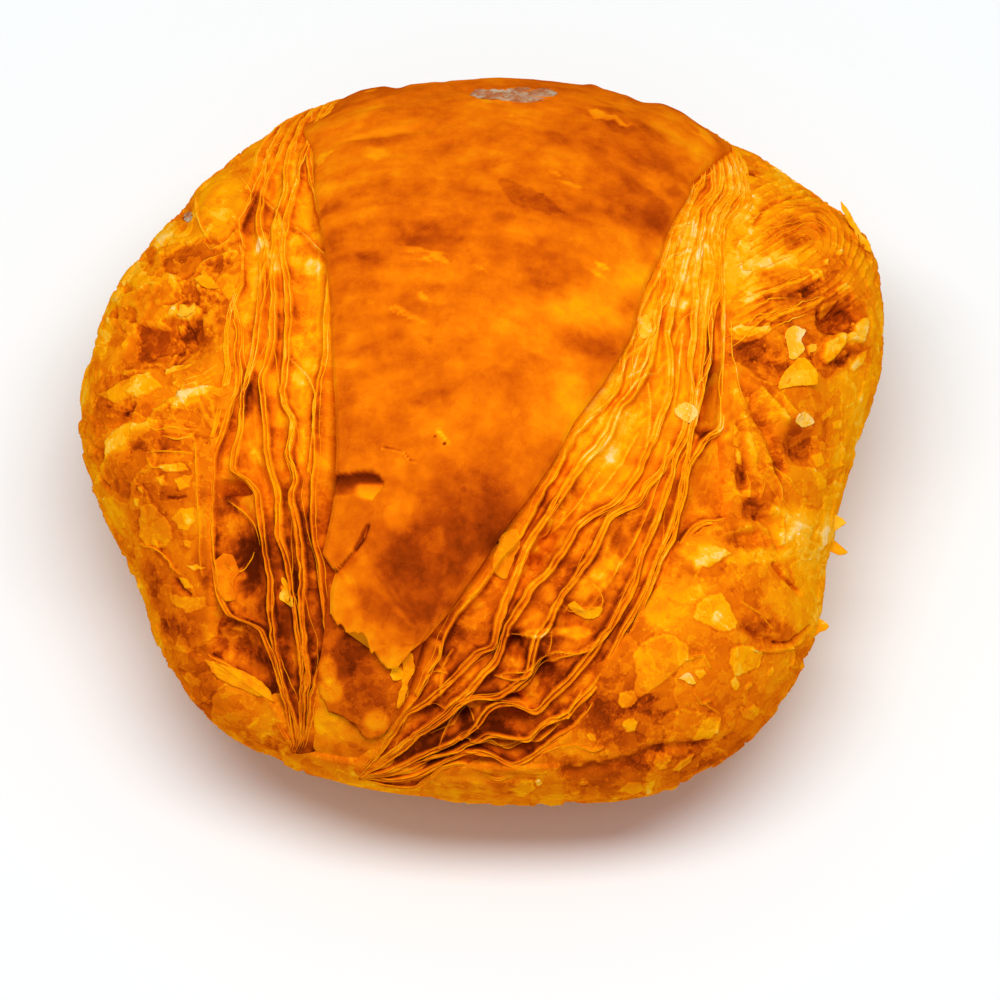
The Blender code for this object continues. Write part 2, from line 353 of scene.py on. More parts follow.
def finished_piece(name, points, faces, browning_and_shade, material):
    """A riding piece from points and faces, with its browning and painted shade, and its material."""
    mesh = bpy.data.meshes.new(name)
    mesh.from_pydata(points, [], faces)
    layer = mesh.attributes.new("browning_and_shade", "FLOAT", "POINT")
    layer.data.foreach_set("value", np.asarray(browning_and_shade, np.float32))
    mesh.materials.append(material)
    return riding_piece(name, mesh)


def closed_piece(name, top, rails, browning_and_shade, material):
    """A closed mesh between a top grid (rows, columns, 3) and the two rails below it (rows, 2, 3)."""
    rows, columns = top.shape[:2]
    number = np.arange(rows * columns).reshape(rows, columns)
    low = rows * columns + np.arange(rows * RAILS).reshape(rows, RAILS)
    sides = [np.stack([number[:, side], low[:, side]]) for side in (0, -1)]
    faces = []
    for grid, turned in ((number, False), (low, True), (sides[0], False), (sides[1], True)):
        quads = np.stack([grid[:-1, :-1], grid[:-1, 1:], grid[1:, 1:], grid[1:, :-1]], axis=-1).reshape(-1, 4)
        faces += (quads[:, ::-1] if turned else quads).tolist()
    faces.append(number[0, ::-1].tolist() + low[0].tolist())
    faces.append(number[-1].tolist() + low[-1, ::-1].tolist())
    points = np.concatenate([top.reshape(-1, 3), rails.reshape(-1, 3)])
    corners = points[np.array([face[:3] for face in faces])]
    volume = np.einsum("ij,ij->i", corners[:, 0], np.cross(corners[:, 1], corners[:, 2])).sum()
    if volume < 0:
        faces = [face[::-1] for face in faces]
    low_browning = np.repeat(browning_and_shade[:, :1], RAILS, axis=1)
    return finished_piece(name, points, faces, np.append(browning_and_shade.ravel(), low_browning.ravel()), material)


def laid_piece(name, places, height, depth, browning_and_shade, material, lowest=ABOVE_FLOOR):
    """A closed piece over the bun: its top at a height in mm, and its rails deeper than that by depth."""
    points, outward = places
    top = at_rest(points + outward * height[..., None])
    rails = at_rest((points + outward * (height - depth)[..., None])[:, [0, -1]])
    rails[..., 2] = np.maximum(rails[..., 2], lowest)
    return closed_piece(name, top, rails, browning_and_shade, material)


# %% [markdown]
# ## Colours of baking
# Butter dough browns in one known order: cream, yellow, gold, orange, red-brown, dark brown. So every
# material here shares one ramp of colours and reads its place on it from the browning attribute, which
# also holds painted shade and painted highlights. The colours are the sRGB ones of the photograph, turned
# to linear by one function.

# %% Material helpers
def to_linear(colour_hex):
    """An sRGB hex colour as linear RGBA."""
    values = [int(colour_hex[i : i + 2], 16) / 255 for i in (0, 2, 4)]
    linear = [v / 12.92 if v <= 0.04045 else ((v + 0.055) / 1.055) ** 2.4 for v in values]
    return (*linear, 1.0)


def add_node(tree, kind, settings=None, inputs=None, links=None):
    """A new node with its settings, its input values and its links (input name: output socket)."""
    node = tree.nodes.new(kind)
    for key, value in (settings or {}).items():
        setattr(node, key, value)
    for key, value in (inputs or {}).items():
        node.inputs[key].default_value = value
    for key, socket in (links or {}).items():
        tree.links.new(socket, node.inputs[key])
    return node


# Places on the ramp, and the sRGB colours there
BAKING_COLOURS = (
    (0.00, "fcd492"),
    (0.12, "fdbc2c"),
    (0.26, "fea504"),
    (0.40, "f38b08"),
    (0.54, "e77006"),
    (0.66, "ce5906"),
    (0.78, "a83e06"),
    (0.90, "7a2804"),
    (1.00, "5a1a03"),
)
# Where the egg wash has scorched, it is grey and dull. Its palest greys are a painted sheen, a reflection
# on the glaze.
SCORCHED_AND_SHEEN_COLOURS = ((0.00, "d2bea2"), (0.30, "b99a7c"), (0.55, "b4683c"), (1.00, "8a3c14"))


def baked_material(name, sizes, amounts, relief_mm, roughness, colours=BAKING_COLOURS):
    """Baked dough: sizes of its mottles and wrinkles in mm, and how much paler or darker they are."""
    mottle_mm, wrinkle_mm = sizes
    mottle, flake, wrinkle, fleck = amounts
    material = bpy.data.materials.new(name)
    material.use_nodes = True
    tree = material.node_tree
    shader = tree.nodes["Principled BSDF"]
    here = {"Vector": add_node(tree, "ShaderNodeTexCoord").outputs["Object"]}
    browning_and_shade = add_node(tree, "ShaderNodeAttribute", {"attribute_name": "browning_and_shade"})

    # Soft mottles, and a second noise cut sharply, as the rims of thin flakes cut the colour
    inputs = {"Scale": 1.0 / (mottle_mm * MM), "Detail": 7.0, "Roughness": 0.62}
    mottles = add_node(tree, "ShaderNodeTexNoise", inputs=inputs, links=here)
    inputs = {"From Min": 0.25, "From Max": 0.75, "To Min": -mottle, "To Max": mottle}
    soft = add_node(tree, "ShaderNodeMapRange", inputs=inputs, links={"Value": mottles.outputs["Fac"]})
    inputs = {"Scale": 0.6 / (mottle_mm * MM), "Detail": 8.0, "Roughness": 0.66}
    flakes = add_node(tree, "ShaderNodeTexNoise", inputs=inputs, links=here)
    inputs = {"From Min": 0.49, "From Max": 0.515, "To Min": -flake, "To Max": flake}
    sharp = add_node(tree, "ShaderNodeMapRange", inputs=inputs, links={"Value": flakes.outputs["Fac"]})

    # Wrinkles: narrow bands round the middle value of a noise, only in patches
    inputs = {"Scale": 1.0 / (wrinkle_mm * MM), "Detail": 2.0, "Roughness": 0.6, "Distortion": 0.9}
    waves = add_node(tree, "ShaderNodeTexNoise", inputs=inputs, links=here)
    around = add_node(tree, "ShaderNodeMath", {"operation": "SUBTRACT"}, {1: 0.5}, {0: waves.outputs["Fac"]})
    away = add_node(tree, "ShaderNodeMath", {"operation": "ABSOLUTE"}, links={0: around.outputs[0]})
    inputs = {"From Min": 0.0, "From Max": 0.04, "To Min": -wrinkle, "To Max": 0.0}
    bands = add_node(tree, "ShaderNodeMapRange", inputs=inputs, links={"Value": away.outputs[0]})
    inputs = {"Scale": 0.25 / (wrinkle_mm * MM), "Detail": 2.0}
    places = add_node(tree, "ShaderNodeTexNoise", inputs=inputs, links=here)
    inputs = {"From Min": 0.46, "From Max": 0.56}
    patches = add_node(tree, "ShaderNodeMapRange", inputs=inputs, links={"Value": places.outputs["Fac"]})
    links = {0: bands.outputs["Result"], 1: patches.outputs["Result"]}
    wrinkles = add_node(tree, "ShaderNodeMath", {"operation": "MULTIPLY"}, links=links)

    # Flecks: tiny pale crumbs
    inputs = {"Scale": 2.2 / (wrinkle_mm * MM), "Detail": 2.0}
    crumbs = add_node(tree, "ShaderNodeTexNoise", inputs=inputs, links=here)
    inputs = {"From Min": 0.66, "From Max": 0.71, "To Min": 0.0, "To Max": -fleck}
    flecks = add_node(tree, "ShaderNodeMapRange", inputs=inputs, links={"Value": crumbs.outputs["Fac"]})

    total = browning_and_shade.outputs["Fac"]
    parts = (soft.outputs["Result"], sharp.outputs["Result"], wrinkles.outputs[0], flecks.outputs["Result"])
    for part in parts:
        total = add_node(tree, "ShaderNodeMath", {"operation": "ADD"}, links={0: total, 1: part}).outputs[0]
    ramp = add_node(tree, "ShaderNodeValToRGB", links={"Fac": total})
    stops = ramp.color_ramp.elements
    for position, _ in colours[1:-1]:
        stops.new(position)
    for stop, (position, colour) in zip(stops, colours):
        stop.position = position
        stop.color = to_linear(colour)
    tree.links.new(ramp.outputs["Color"], shader.inputs["Base Color"])

    inputs = {"Scale": 1.0 / (GRAIN_MM * MM), "Detail": 4.0}
    grain = add_node(tree, "ShaderNodeTexNoise", inputs=inputs, links=here)
    links = {0: sharp.outputs["Result"], 1: grain.outputs["Fac"]}
    relief = add_node(tree, "ShaderNodeMath", {"operation": "SUBTRACT"}, links=links)
    bump_inputs = {"Strength": 1.0, "Distance": relief_mm * MM}
    bump = add_node(tree, "ShaderNodeBump", inputs=bump_inputs, links={"Height": relief.outputs[0]})
    tree.links.new(bump.outputs["Normal"], shader.inputs["Normal"])
    shader.inputs["Roughness"].default_value = roughness
    shader.inputs["IOR"].default_value = BUTTER_IOR
    shader.inputs["Specular IOR Level"].default_value = 0.0
    return material


# %% The materials
# The finest grain of the relief. The real grain of flour is finer, but would not show.
GRAIN_MM = 0.6
# Butter fat bends light a little more than water does
BUTTER_IOR = 1.4
# Egg-washed crust: brushed with egg and baked, so it is smooth and tight.
egg_washed_crust = baked_material("egg_washed_crust", (4.0, 1.4), (0.10, 0.015, 0.03, 0.04), 0.03, 0.5)
# Laminated leaf: cut butter dough, baked dry and crisp, matt and crumpled.
laminated_leaf = baked_material(
    "laminated_butter_dough_leaf", (2.4, 1.7), (0.06, 0.04, 0.08, 0.06), 0.08, 0.6
)
# Flaky crust: torn outer layers of the ends, rough with broken blisters.
flaky_crust = baked_material("flaky_baked_crust", (3.4, 2.0), (0.08, 0.045, 0.06, 0.14), 0.07, 0.6)
# Scorched egg wash: a thin blister that caught the oven's heat, its palest parts a painted sheen.
scorched_egg_wash_and_sheen = baked_material(
    "scorched_egg_wash_and_sheen", (1.6, 1.0), (0.30, 0.10, 0.0, 0.0), 0.05, 0.6, SCORCHED_AND_SHEEN_COLOURS
)
print(len(bpy.data.materials), "materials")

# %% [markdown]
# ## The two fans of leaves
# Where the roll was cut, the edges of its turns have lifted and parted into thin leaves. In the photograph
# the leaf edges are bright wavy lines that run together at two hubs near the lower rim. So each fan is a
# sheet spread round its hub: its rows are distances from the hub, and its columns run along the leaf edges.
# Between two edges the sheet drops steeply into a dark gap and rises slowly to the next edge, as leaf over
# leaf does.

# %% Leaf edges, read off the photograph from the top to the hub, the one beside the top crust first
LEFT_HUB_PX = (300, 753)
LEFT_LEAVES_PX = photo_lines("""
    309,150 315,185 322,215 328,241 330,272 327,315 325,369 319,398 314,434 316,485 316,529 319,565
    323,596 326,630 323,659 316,674 312,697 304,745;
    303,152 296,190 286,222 284,241 286,272 291,315 288,337 286,376 284,402 292,417 287,452 294,476
    292,502 298,530 300,574 302,618 305,652 309,676 307,705 302,745;
    290,150 282,190 275,215 269,250 271,272 273,304 275,337 268,359 262,380 266,408 268,440 271,462
    277,485 280,510 281,534 289,565 296,596 299,618 302,655 303,690 301,745;
    279,150 262,189 258,222 262,250 262,285 256,315 254,337 249,369 243,391 243,430 236,455 232,470
    245,477 256,491 258,514 265,552 270,578 269,612 272,636 280,672 287,694 294,719 299,745;
    262,165 240,215 236,235 243,250 241,283 234,304 236,337 239,369 239,391 232,402 222,434 216,455
    214,485 213,529 215,563 219,596 229,616 240,619 262,628 269,645 278,672 287,708 297,745;
    248,172 232,225 236,262 231,300 229,337 231,369 226,400 212,440 206,485 205,520 207,560 209,600
    207,630 207,656 224,665 247,681 267,697 276,712 285,730 296,746
""")
RIGHT_HUB_PX = (357, 773)
RIGHT_LEAVES_PX = photo_lines("""
    695,190 672,225 664,250 655,275 640,310 637,330 625,352 621,372 612,390 594,408 575,432 560,460
    546,485 530,510 518,530 497,560 474,589 453,615 444,632 440,650 432,668 417,692 402,716 386,740
    374,757;
    706,180 690,200 682,225 675,245 670,265 671,290 660,306 657,326 651,340 648,358 640,378 630,395
    620,404 613,418 608,434 598,450 584,464 570,480 558,497 549,512 538,530 528,545 521,560 515,578
    506,601 499,635 492,648 479,650 465,665 451,679 426,704 407,714 397,724 387,743 373,761;
    716,182 697,205 693,230 688,250 682,270 675,293 671,311 666,328 671,354 672,380 668,400 655,425
    648,445 639,470 623,493 610,506 596,512 577,526 564,548 550,573 529,590 518,606 508,625 499,648
    495,661 481,673 463,696 444,711 414,734 394,751 376,764;
    724,184 706,210 699,240 700,272 697,293 696,315 694,337 688,365 692,380 690,400 682,432 668,455
    652,480 635,500 609,514 600,532 591,548 577,569 564,588 557,602 553,619 545,631 538,636 534,650
    527,670 509,690 495,699 480,697 462,702 452,710 440,719 414,740 392,756 377,766;
    732,186 716,212 712,240 714,270 708,300 704,330 702,355 698,380 693,410 686,432 675,455 665,490
    655,520 643,546 636,573 629,596 615,617 601,638 590,653 579,667 560,689 546,705 537,714 527,710
    513,702 497,701 483,713 472,728 456,742 440,751 414,761 390,769 378,771;
    740,190 722,218 721,254 721,272 718,291 713,309 712,332 710,358 705,374 699,388 697,410 692,425
    684,470 678,500 668,535 655,562 645,590 632,614 620,640 608,660 600,674 590,690 578,703 568,715
    550,721 538,729 527,739 509,737 490,735 479,739 463,747 444,755 426,761 403,768 380,773;
    747,194 727,220 725,259 726,285 725,324 725,354 723,380 722,406 720,428 710,433 704,440 696,453
    688,467 681,495 671,535 661,560 651,590 640,614 627,643 613,664 604,684 596,700 587,713 575,726
    559,737 541,751 527,760 513,766 502,761 490,754 479,752 463,754 449,760 433,767 417,774 382,776;
    754,198 733,224 730,259 731,285 730,324 730,354 729,380 728,406 727,428 729,445 732,471 734,495
    730,518 718,523 704,523 693,531 683,544 677,562 672,578 660,597 648,611 637,631 619,651 609,663
    604,680 603,694 596,706 582,722 568,736 550,749 536,762 518,771 508,776 497,778 483,772 472,767
    456,764 442,768 430,776 414,783 384,780
""")
# Past the top of the picture each edge runs on over the back: steps in mm, and mm across for each mm upwards
OVER_THE_TOP_MM = (14.0, 28.0, 42.0, 56.0)
LEFT_LEAN = -0.05
RIGHT_LEAN = 0.22
# The outer edges of a fan lean more than the inner ones, by this share
LEAN_SPREAD = 0.35
# The narrowest gap between two leaf edges, in mm
LEAST_GAP = 0.28
# Each edge also waves, in mm
WAVE_LENGTHS = (6.0, 2.2, 0.9)
WAVE_HEIGHTS = (0.40, 0.22, 0.08)
# Each leaf and each gap reads its noise in a lane of its own
LANE = 31.0


def smoothed(values):
    """A row of values, each one averaged with its three neighbours on both sides."""
    kernel = np.hanning(7) / np.hanning(7).sum()
    return np.convolve(np.pad(values, 3, mode="edge"), kernel, mode="valid")


def leaf_bearings(leaves_px, hub, radii, outward, lean, seed):
    """The bearing of each leaf edge from the hub at each distance, never crossing its neighbour."""
    tables = []
    for number, leaf in enumerate(leaves_px):
        line = chart_of(from_photo(leaf))
        spread = 1.0 + LEAN_SPREAD * (number / (len(leaves_px) - 1) - 0.5)
        behind = [line[0] + np.array([lean * spread, 1.0]) * step for step in OVER_THE_TOP_MM]
        offset = np.concatenate([behind[::-1], line]) - hub
        distance = np.hypot(offset[:, 0], offset[:, 1])
        order = np.argsort(distance)
        bearing = smoothed(np.interp(radii, distance[order], np.arctan2(offset[:, 1], offset[:, 0])[order]))
        along = on_line(radii, number * LANE)
        for wave, (length, height) in enumerate(zip(WAVE_LENGTHS, WAVE_HEIGHTS)):
            strength = height * smooth_step(2.0, 14.0, radii)
            bearing += strength * grid_noise(along, length, seed + wave) / np.maximum(radii, 2.0)
        if tables:
            least = outward * tables[-1] + LEAST_GAP / np.maximum(radii, 1.0)
            bearing = outward * np.maximum(outward * bearing, least)
        tables.append(bearing)
    return np.array(tables)


def around_hub(hub, radii, bearings):
    """Chart places at distances (rows) and bearings (rows, columns) from a hub."""
    return hub + polar(radii[:, None], bearings)


print(len(LEFT_LEAVES_PX), "and", len(RIGHT_LEAVES_PX), "leaf edges")

# %% Edges that branch off and join the next leaf
BRANCHES_PX = photo_lines("""
    294,223 305,231 314,241 327,254; 262,196 270,202 278,212 284,232; 240,175 249,194 238,221 242,243;
    264,229 267,254 258,283 256,311 253,340 244,390; 291,358 307,374 316,394 314,423 308,470;
    225,498 238,508 254,525 259,545; 285,405 294,416 291,452 294,470; 221,560 232,572 244,560 250,548;
    297,593 286,601 280,586; 639,560 627,585 615,610 602,635 579,653 554,652 541,660 527,670 504,674;
    441,700 442,669 452,650; 461,700 470,716 480,730; 655,326 640,350 632,372; 684,330 680,372 676,400;
    600,470 580,500 563,520; 640,430 622,462 601,488; 670,440 652,500 632,545 610,580;
    560,600 572,610 590,606 602,590; 430,738 452,728 470,712; 480,741 510,752 540,741 560,725;
    430,703 436,707 444,708 450,704 458,698;
    495,676 503,678 512,679 525,676 538,667 547,656 552,642 552,630;
    462,702 472,698 482,697 500,700 515,702 526,706 532,713 540,714 548,705;
    497,700 520,690 535,675 550,662 565,656 580,653 592,648 605,635 614,615;
    465,738 474,726 480,716 487,707 497,701;
    485,740 493,734 505,736 520,737 527,741 535,730 545,722 555,720 565,710;
    440,748 460,738 478,742 490,742 500,748 515,748 525,742; 440,745 447,730 455,715 463,704;
    568,720 569,710 575,700 583,690; 520,765 532,757 545,750 557,745 570,743 584,742;
    425,760 450,753 465,751 480,752 495,760 513,765; 509,633 518,634 530,635 538,636 547,632 552,624;
    439,640 441,655 440,665 446,673 434,671 425,680 418,692; 662,270 668,258 678,252 690,249;
    668,232 675,225 690,222 696,214; 674,226 669,245 664,262 655,285; 694,220 700,208 712,196 722,190;
    658,326 661,312 662,298 668,280; 697,300 696,320 694,345 690,370 691,390;
    676,340 680,325 686,314 696,310; 711,305 712,325 711,345 707,370 697,385 695,405 697,425;
    650,380 652,400 650,425 646,445; 724,290 723,340 720,400 719,430;
    707,438 711,433 716,434 722,428 724,415; 625,362 630,352 645,343 652,338; 632,345 634,330 635,315;
    603,397 612,391 620,376 625,362; 628,375 640,370 648,355 650,345;
    666,360 660,368 648,372 636,382 622,398; 700,375 703,390 697,410; 730,320 731,350 735,375 741,400;
    690,200 694,186 704,176 716,168;
    565,610 570,605 578,606 585,609 593,606 600,608 603,600 600,590 592,583;
    560,500 566,510 562,522 553,530; 545,515 552,520 548,530 540,536
""")
print(len(BRANCHES_PX), "edges between the leaves")

# %% The gaps between leaves
# Deep openings: centre, radii, angle in degrees, and how much deeper they are in mm
CAVITIES = photo_rows("""
    238,562 20,34 0 .8; 246,553 12,14 0 1.5; 234,646 20,14 0 .9; 234,483 8,10 0 3; 283,690 5,26 20 1.5;
    282,480 6,20 0 1; 510,721 32,13 5 2.4; 518,693 11,8 0 3; 463,718 11,9 20 3; 552,672 24,8 35 2.5;
    520,647 26,12 15 2.6; 536,560 5,10 -25 2; 552,538 14,5 50 1.5; 573,618 12,14 0 1.8;
    710,400 10,45 -3 3; 723,320 4,60 -1 2; 668,540 6,30 -20 1.5; 708,535 20,9 0 2; 440,690 10,8 30 1.5;
    430,712 12,5 35 1.2; 530,748 26,4 0 1.2; 470,745 22,4 20 1
""")
# Colour of single places: centre, radii, angle in degrees, and how much darker (above 0) or paler they are.
# The darker marks that lie over deep openings are painted shade.
FAN_MARKS = photo_rows("""
    258,241 5,7 0 -.28; 253,272 8,14 0 -.24; 253,290 5,6 0 -.24; 246,215 6,16 -15 .16; 250,190 6,10 0 .12;
    268,178 4,12 0 .12; 268,205 6,6 30 .12; 296,227 10,3 -15 .22; 290,310 8,10 0 .12; 308,360 9,9 0 -.18;
    258,362 4,10 0 -.16; 236,345 3,28 0 .16; 250,322 5,14 0 .14; 279,305 4,12 0 .12; 255,385 7,16 0 .16;
    305,165 10,14 0 .1; 262,400 10,14 0 .1; 296,200 12,24 0 -.1; 271,262 7,12 0 -.22; 310,262 9,9 0 -.22;
    274,220 5,6 0 -.22; 300,375 9,8 0 -.18; 284,590 6,16 -25 -.22; 300,440 5,18 0 -.16;
    300,400 16,12 0 -.1; 292,418 8,10 0 -.12; 260,430 7,12 0 -.14; 252,452 6,8 0 -.18;
    310,458 12,10 0 -.1; 262,330 6,16 0 -.1; 305,330 18,40 0 .05; 246,400 6,20 0 .14; 225,520 14,40 0 .06;
    248,555 12,26 0 .16; 232,645 20,14 0 -.1; 240,600 22,16 0 -.04; 238,562 20,30 0 .07;
    232,575 8,8 0 -.2; 240,672 30,12 -25 -.2; 644,327 6,11 0 -.18; 686,276 4,7 -30 -.16;
    678,300 10,9 0 -.18; 670,320 4,12 0 -.14; 699,253 4,6 -30 -.16; 676,371 5,5 0 -.12;
    690,250 16,40 -10 -.09; 706,176 16,12 50 .1; 603,568 13,10 30 -.2; 545,530 10,40 -40 -.14;
    620,450 26,60 -35 -.1; 560,560 44,30 -40 .06; 590,585 22,10 20 -.2; 578,632 16,6 0 -.26;
    545,632 26,5 5 -.26; 500,590 16,40 -40 -.08; 630,520 12,30 -30 .1; 610,600 10,40 -25 .08;
    455,640 10,20 -30 .06; 450,740 40,10 25 .04; 505,716 36,14 5 -.04; 400,745 30,8 30 .02;
    520,760 30,5 5 -.1; 715,480 14,36 0 .1; 708,380 9,60 -3 .2; 713,345 5,46 3 .18; 706,425 9,20 0 .12;
    680,460 10,40 -15 .08; 440,668 14,12 0 -.1; 560,500 20,20 0 .05
""")
# Level of the leaf edges over the bun in mm, and columns of the grid from one edge to the next
FAN_LEVEL = -0.7
FACE_COLUMNS = 20
# Profile of a leaf edge, which has split in two: distance outwards, drop in mm, and how much darker it is.
# The darker values are painted shade in the split and down to the foot, the paler one a painted highlight
# on the top.
CREST_PROFILE = (
    (0.0, 0.34, 0.20), (0.14, 0.20, 0.10), (0.28, 0.0, -0.08), (0.40, 0.16, 0.12), (0.60, 0.6, 0.34),
)
# A gap narrower than this, in mm, gets narrower edges too
CREST_ROOM = 1.8
# Depth of a gap, and size of the strands across it, in mm
GAP_DEPTH = 1.3
STRAND_SIZE = 2.2
# The least browning anywhere
PALEST = 0.13
# How deep the rails of a piece lie below its top, in mm
FAN_DEPTH = 7.0
CRUST_DEPTH = 6.0
TURN_DEPTH = 5.0
SKIN_DEPTH = 8.0


def opening_depth(seen):
    """How much deeper the gaps are in the openings that the photograph shows."""
    depth = np.zeros(seen.shape[:-1])
    for shape_px, turned, deeper in CAVITIES:
        depth = np.maximum(depth, deeper * smooth_step(1.25, 0.45, oval(seen, shape_px, turned)))
    return depth


def gap_profile(width, depth, swollen, edge, next_edge):
    """One gap across: offsets in mm, heights, painted shade. Split edge, hollow membrane, next split edge."""
    room = np.minimum(width / CREST_ROOM, swollen)
    steady = np.ones_like(width)
    offsets = [offset * room for offset, _, _ in CREST_PROFILE]
    heights = [edge - drop * room for _, drop, _ in CREST_PROFILE]
    painted_crest_shade = [darker * steady for _, _, darker in CREST_PROFILE]
    foot, sunk, shade = CREST_PROFILE[-1]
    for share in np.linspace(0.0, 1.0, FACE_COLUMNS + 2)[1:-1]:
        inwards = (width - 2 * foot * room) * min(share, 1.0 - share)
        offsets.append(foot * room + (width - 2 * foot * room) * share)
        hollow = (1.0 - abs(2.0 * share - 1.0) ** 2.4) * (1.25 - 0.5 * share)
        heights.append(edge + (next_edge - edge) * share - sunk * room - depth * hollow)
        # Painted shade, fading from the foot of the edge into the membrane
        painted_crest_shade.append(shade * np.exp(-inwards / 0.42))
    for offset, drop, darker in CREST_PROFILE[:0:-1]:
        offsets.append(width - offset * room)
        heights.append(next_edge - drop * room)
        painted_crest_shade.append(darker * steady)
    return np.stack(offsets, axis=1), np.stack(heights, axis=1), np.stack(painted_crest_shade, axis=1)


# The hub, rows and edge bearings of each fan, kept for the threads
LEAF_EDGES = {}


def make_fan(name, hub_px, leaves_px, outward, lean, radii, darker, seed):
    """One fan of leaves as a closed piece. outward is 1 where bearings grow away from the top crust."""
    hub = chart_of(from_photo(hub_px))
    edges = leaf_bearings(leaves_px, hub, radii, outward, lean, seed)
    around = np.maximum(radii, 2.5)
    inner = edges[0] - outward * 2.2 / around
    outer = edges[-1] + outward * 0.4 / around
    along = on_line(radii)
    edge_heights = [0.3 * grid_noise(along, 7.0, seed + 60 + k) for k in range(len(edges))]
    flat = np.zeros((len(radii), 1))
    bearings = [inner[:, None], 0.5 * (inner + edges[0])[:, None]]
    heights = [flat - 2.5, flat - 0.9]
    lanes = [flat, flat]
    painted_crest_shade = [flat, flat]
    for k in range(len(edges) - 1):
        width = np.maximum(outward * (edges[k + 1] - edges[k]) * radii, 0.05)
        depth = np.minimum(GAP_DEPTH * (0.7 + 0.4 * grid_noise(along, 11.0, seed + 80 + k)), 0.45 * width)
        seen, _, _, facing = on_bun(around_hub(hub, radii, 0.5 * (edges[k] + edges[k + 1])[:, None]))
        depth += np.minimum(opening_depth(seen)[:, 0], 0.9 * width)
        depth *= 0.5 + 0.5 * smooth_step(0.0, 0.45, facing[:, 0])
        swollen = np.clip(0.95 + 0.75 * layered_noise(along, 5.0, seed + 140 + k, 3), 0.45, 1.5)
        offsets, cell, tone = gap_profile(width, depth, swollen, edge_heights[k], edge_heights[k + 1])
        bearings.append(edges[k][:, None] + offsets / width[:, None] * (edges[k + 1] - edges[k])[:, None])
        heights.append(cell)
        lanes.append(offsets + LANE * k)
        painted_crest_shade.append(tone * (0.75 + 0.5 * layered_noise(along, 5.0, seed + 100 + k, 2))[:, None])
    bearings += [edges[-1][:, None], outer[:, None], outer[:, None]]
    heights += [edge_heights[-1][:, None], edge_heights[-1][:, None] - 0.1, flat - 4.0]
    bearings = np.concatenate(bearings, axis=1)
    heights = np.concatenate(heights, axis=1)
    lanes = np.concatenate(lanes + [flat, flat, flat], axis=1)
    painted_crest_shade = np.concatenate(painted_crest_shade + [flat, flat, flat], axis=1)
    seen, points, outward_direction, facing = on_bun(around_hub(hub, radii, bearings))
    along_lanes = np.stack([0.14 * radii[:, None] + 0.0 * lanes, lanes], axis=-1)
    heights, browning_and_shade = dress_fan(seen, points, heights, along_lanes, seed)
    far = smooth_step(8.0, 32.0, seen[..., 1]) * (0.7 if outward < 0 else 0.25)
    heights = heights * (1.0 - 0.8 * far)
    fold = (1.0 - np.abs(layered_noise(along_lanes * np.array([3.6, 1.0]), 2.4, seed + 40, 4))) ** 8
    heights += far * (0.55 * fold - 0.2)
    # The painted shade by the leaf edges is fainter on the upper part of the fan
    browning_and_shade += darker + painted_crest_shade * (1.0 - 0.6 * far) + far * (0.09 - 0.16 * fold)
    browning_and_shade = np.maximum(browning_and_shade, 0.6 * PALEST)
    ends = smooth_step(radii[-1] - 9.0, radii[-1], radii)[:, None] * 6.0
    level = FAN_LEVEL * smooth_step(54.0, 36.0, seen[..., 1]) - ends
    at_rim = smooth_step(0.52, 0.22, facing) * smooth_step(0.0, -20.0, seen[..., 1])
    heights = heights * (1.0 - 0.75 * at_rim)
    level = level + (0.5 - level) * at_rim
    LEAF_EDGES[name] = (hub, radii, edges)
    places = (points, outward_direction)
    return laid_piece(name, places, heights + level, FAN_DEPTH, browning_and_shade, laminated_leaf)


def dress_fan(seen, points, heights, lanes, seed):
    """Wrinkles and strands on a fan, and its browning: pale above, painted shade below and in the gaps."""
    deep = smooth_step(0.6, 2.6, -heights)
    face = smooth_step(0.25, 0.7, -heights)
    patchy = smooth_step(-0.2, 0.3, layered_noise(points, 7.0, seed + 6, 2))
    strand = (1.0 - np.abs(layered_noise(points, STRAND_SIZE, seed + 7, 3))) ** 6 * patchy
    streak = (1.0 - np.abs(layered_noise(lanes, 0.9, seed + 20, 2))) ** 5
    crumple = layered_noise(points, 2.6, seed + 8, 4)
    heights = heights + face * (0.5 * strand * (0.3 + 0.7 * deep) + 0.34 * crumple + 0.14 * streak)
    uneven = seen + 0.12 * noise_pair(seen, 1.6, seed + 30, 2)
    branches = np.zeros(seen.shape[:-1])
    beside = np.zeros(seen.shape[:-1])
    for line in BRANCHES_PX:
        branches = np.maximum(branches, line_form(uneven, line, 0.26))
        beside = np.maximum(beside, line_form(uneven, line, 0.75))
    heights = heights + 0.55 * branches - 0.15 * beside
    # Painted shade: darker towards the bottom of the picture, and where the sheet lies deep in a gap
    low = smooth_step(12.0, -28.0, seen[..., 1])
    down = smooth_step(0.0, 0.5, -heights)
    browning_and_shade = 0.26 + 0.21 * low + (0.07 + 0.16 * low) * down
    coarse = 0.10 * layered_noise(points, 7.0, seed + 10, 3)
    browning_and_shade += coarse + 0.12 * layered_noise(points, 2.6, seed + 11, 4)
    # More painted shade in the deepest gaps
    browning_and_shade += (0.10 + 0.10 * low) * smooth_step(1.0, 3.2, -heights) - 0.14 * strand
    # Raised crumples are painted paler: a painted highlight
    browning_and_shade += face * (0.04 - 0.10 * streak - 0.13 * smooth_step(0.0, 0.35, crumple))
    # Painted shade in a band beside each branch line, which is itself a little paler
    browning_and_shade += 0.20 * (beside - branches) - 0.08 * branches
    browning_and_shade += marks_at(seen, FAN_MARKS, 0.3)
    return heights, browning_and_shade


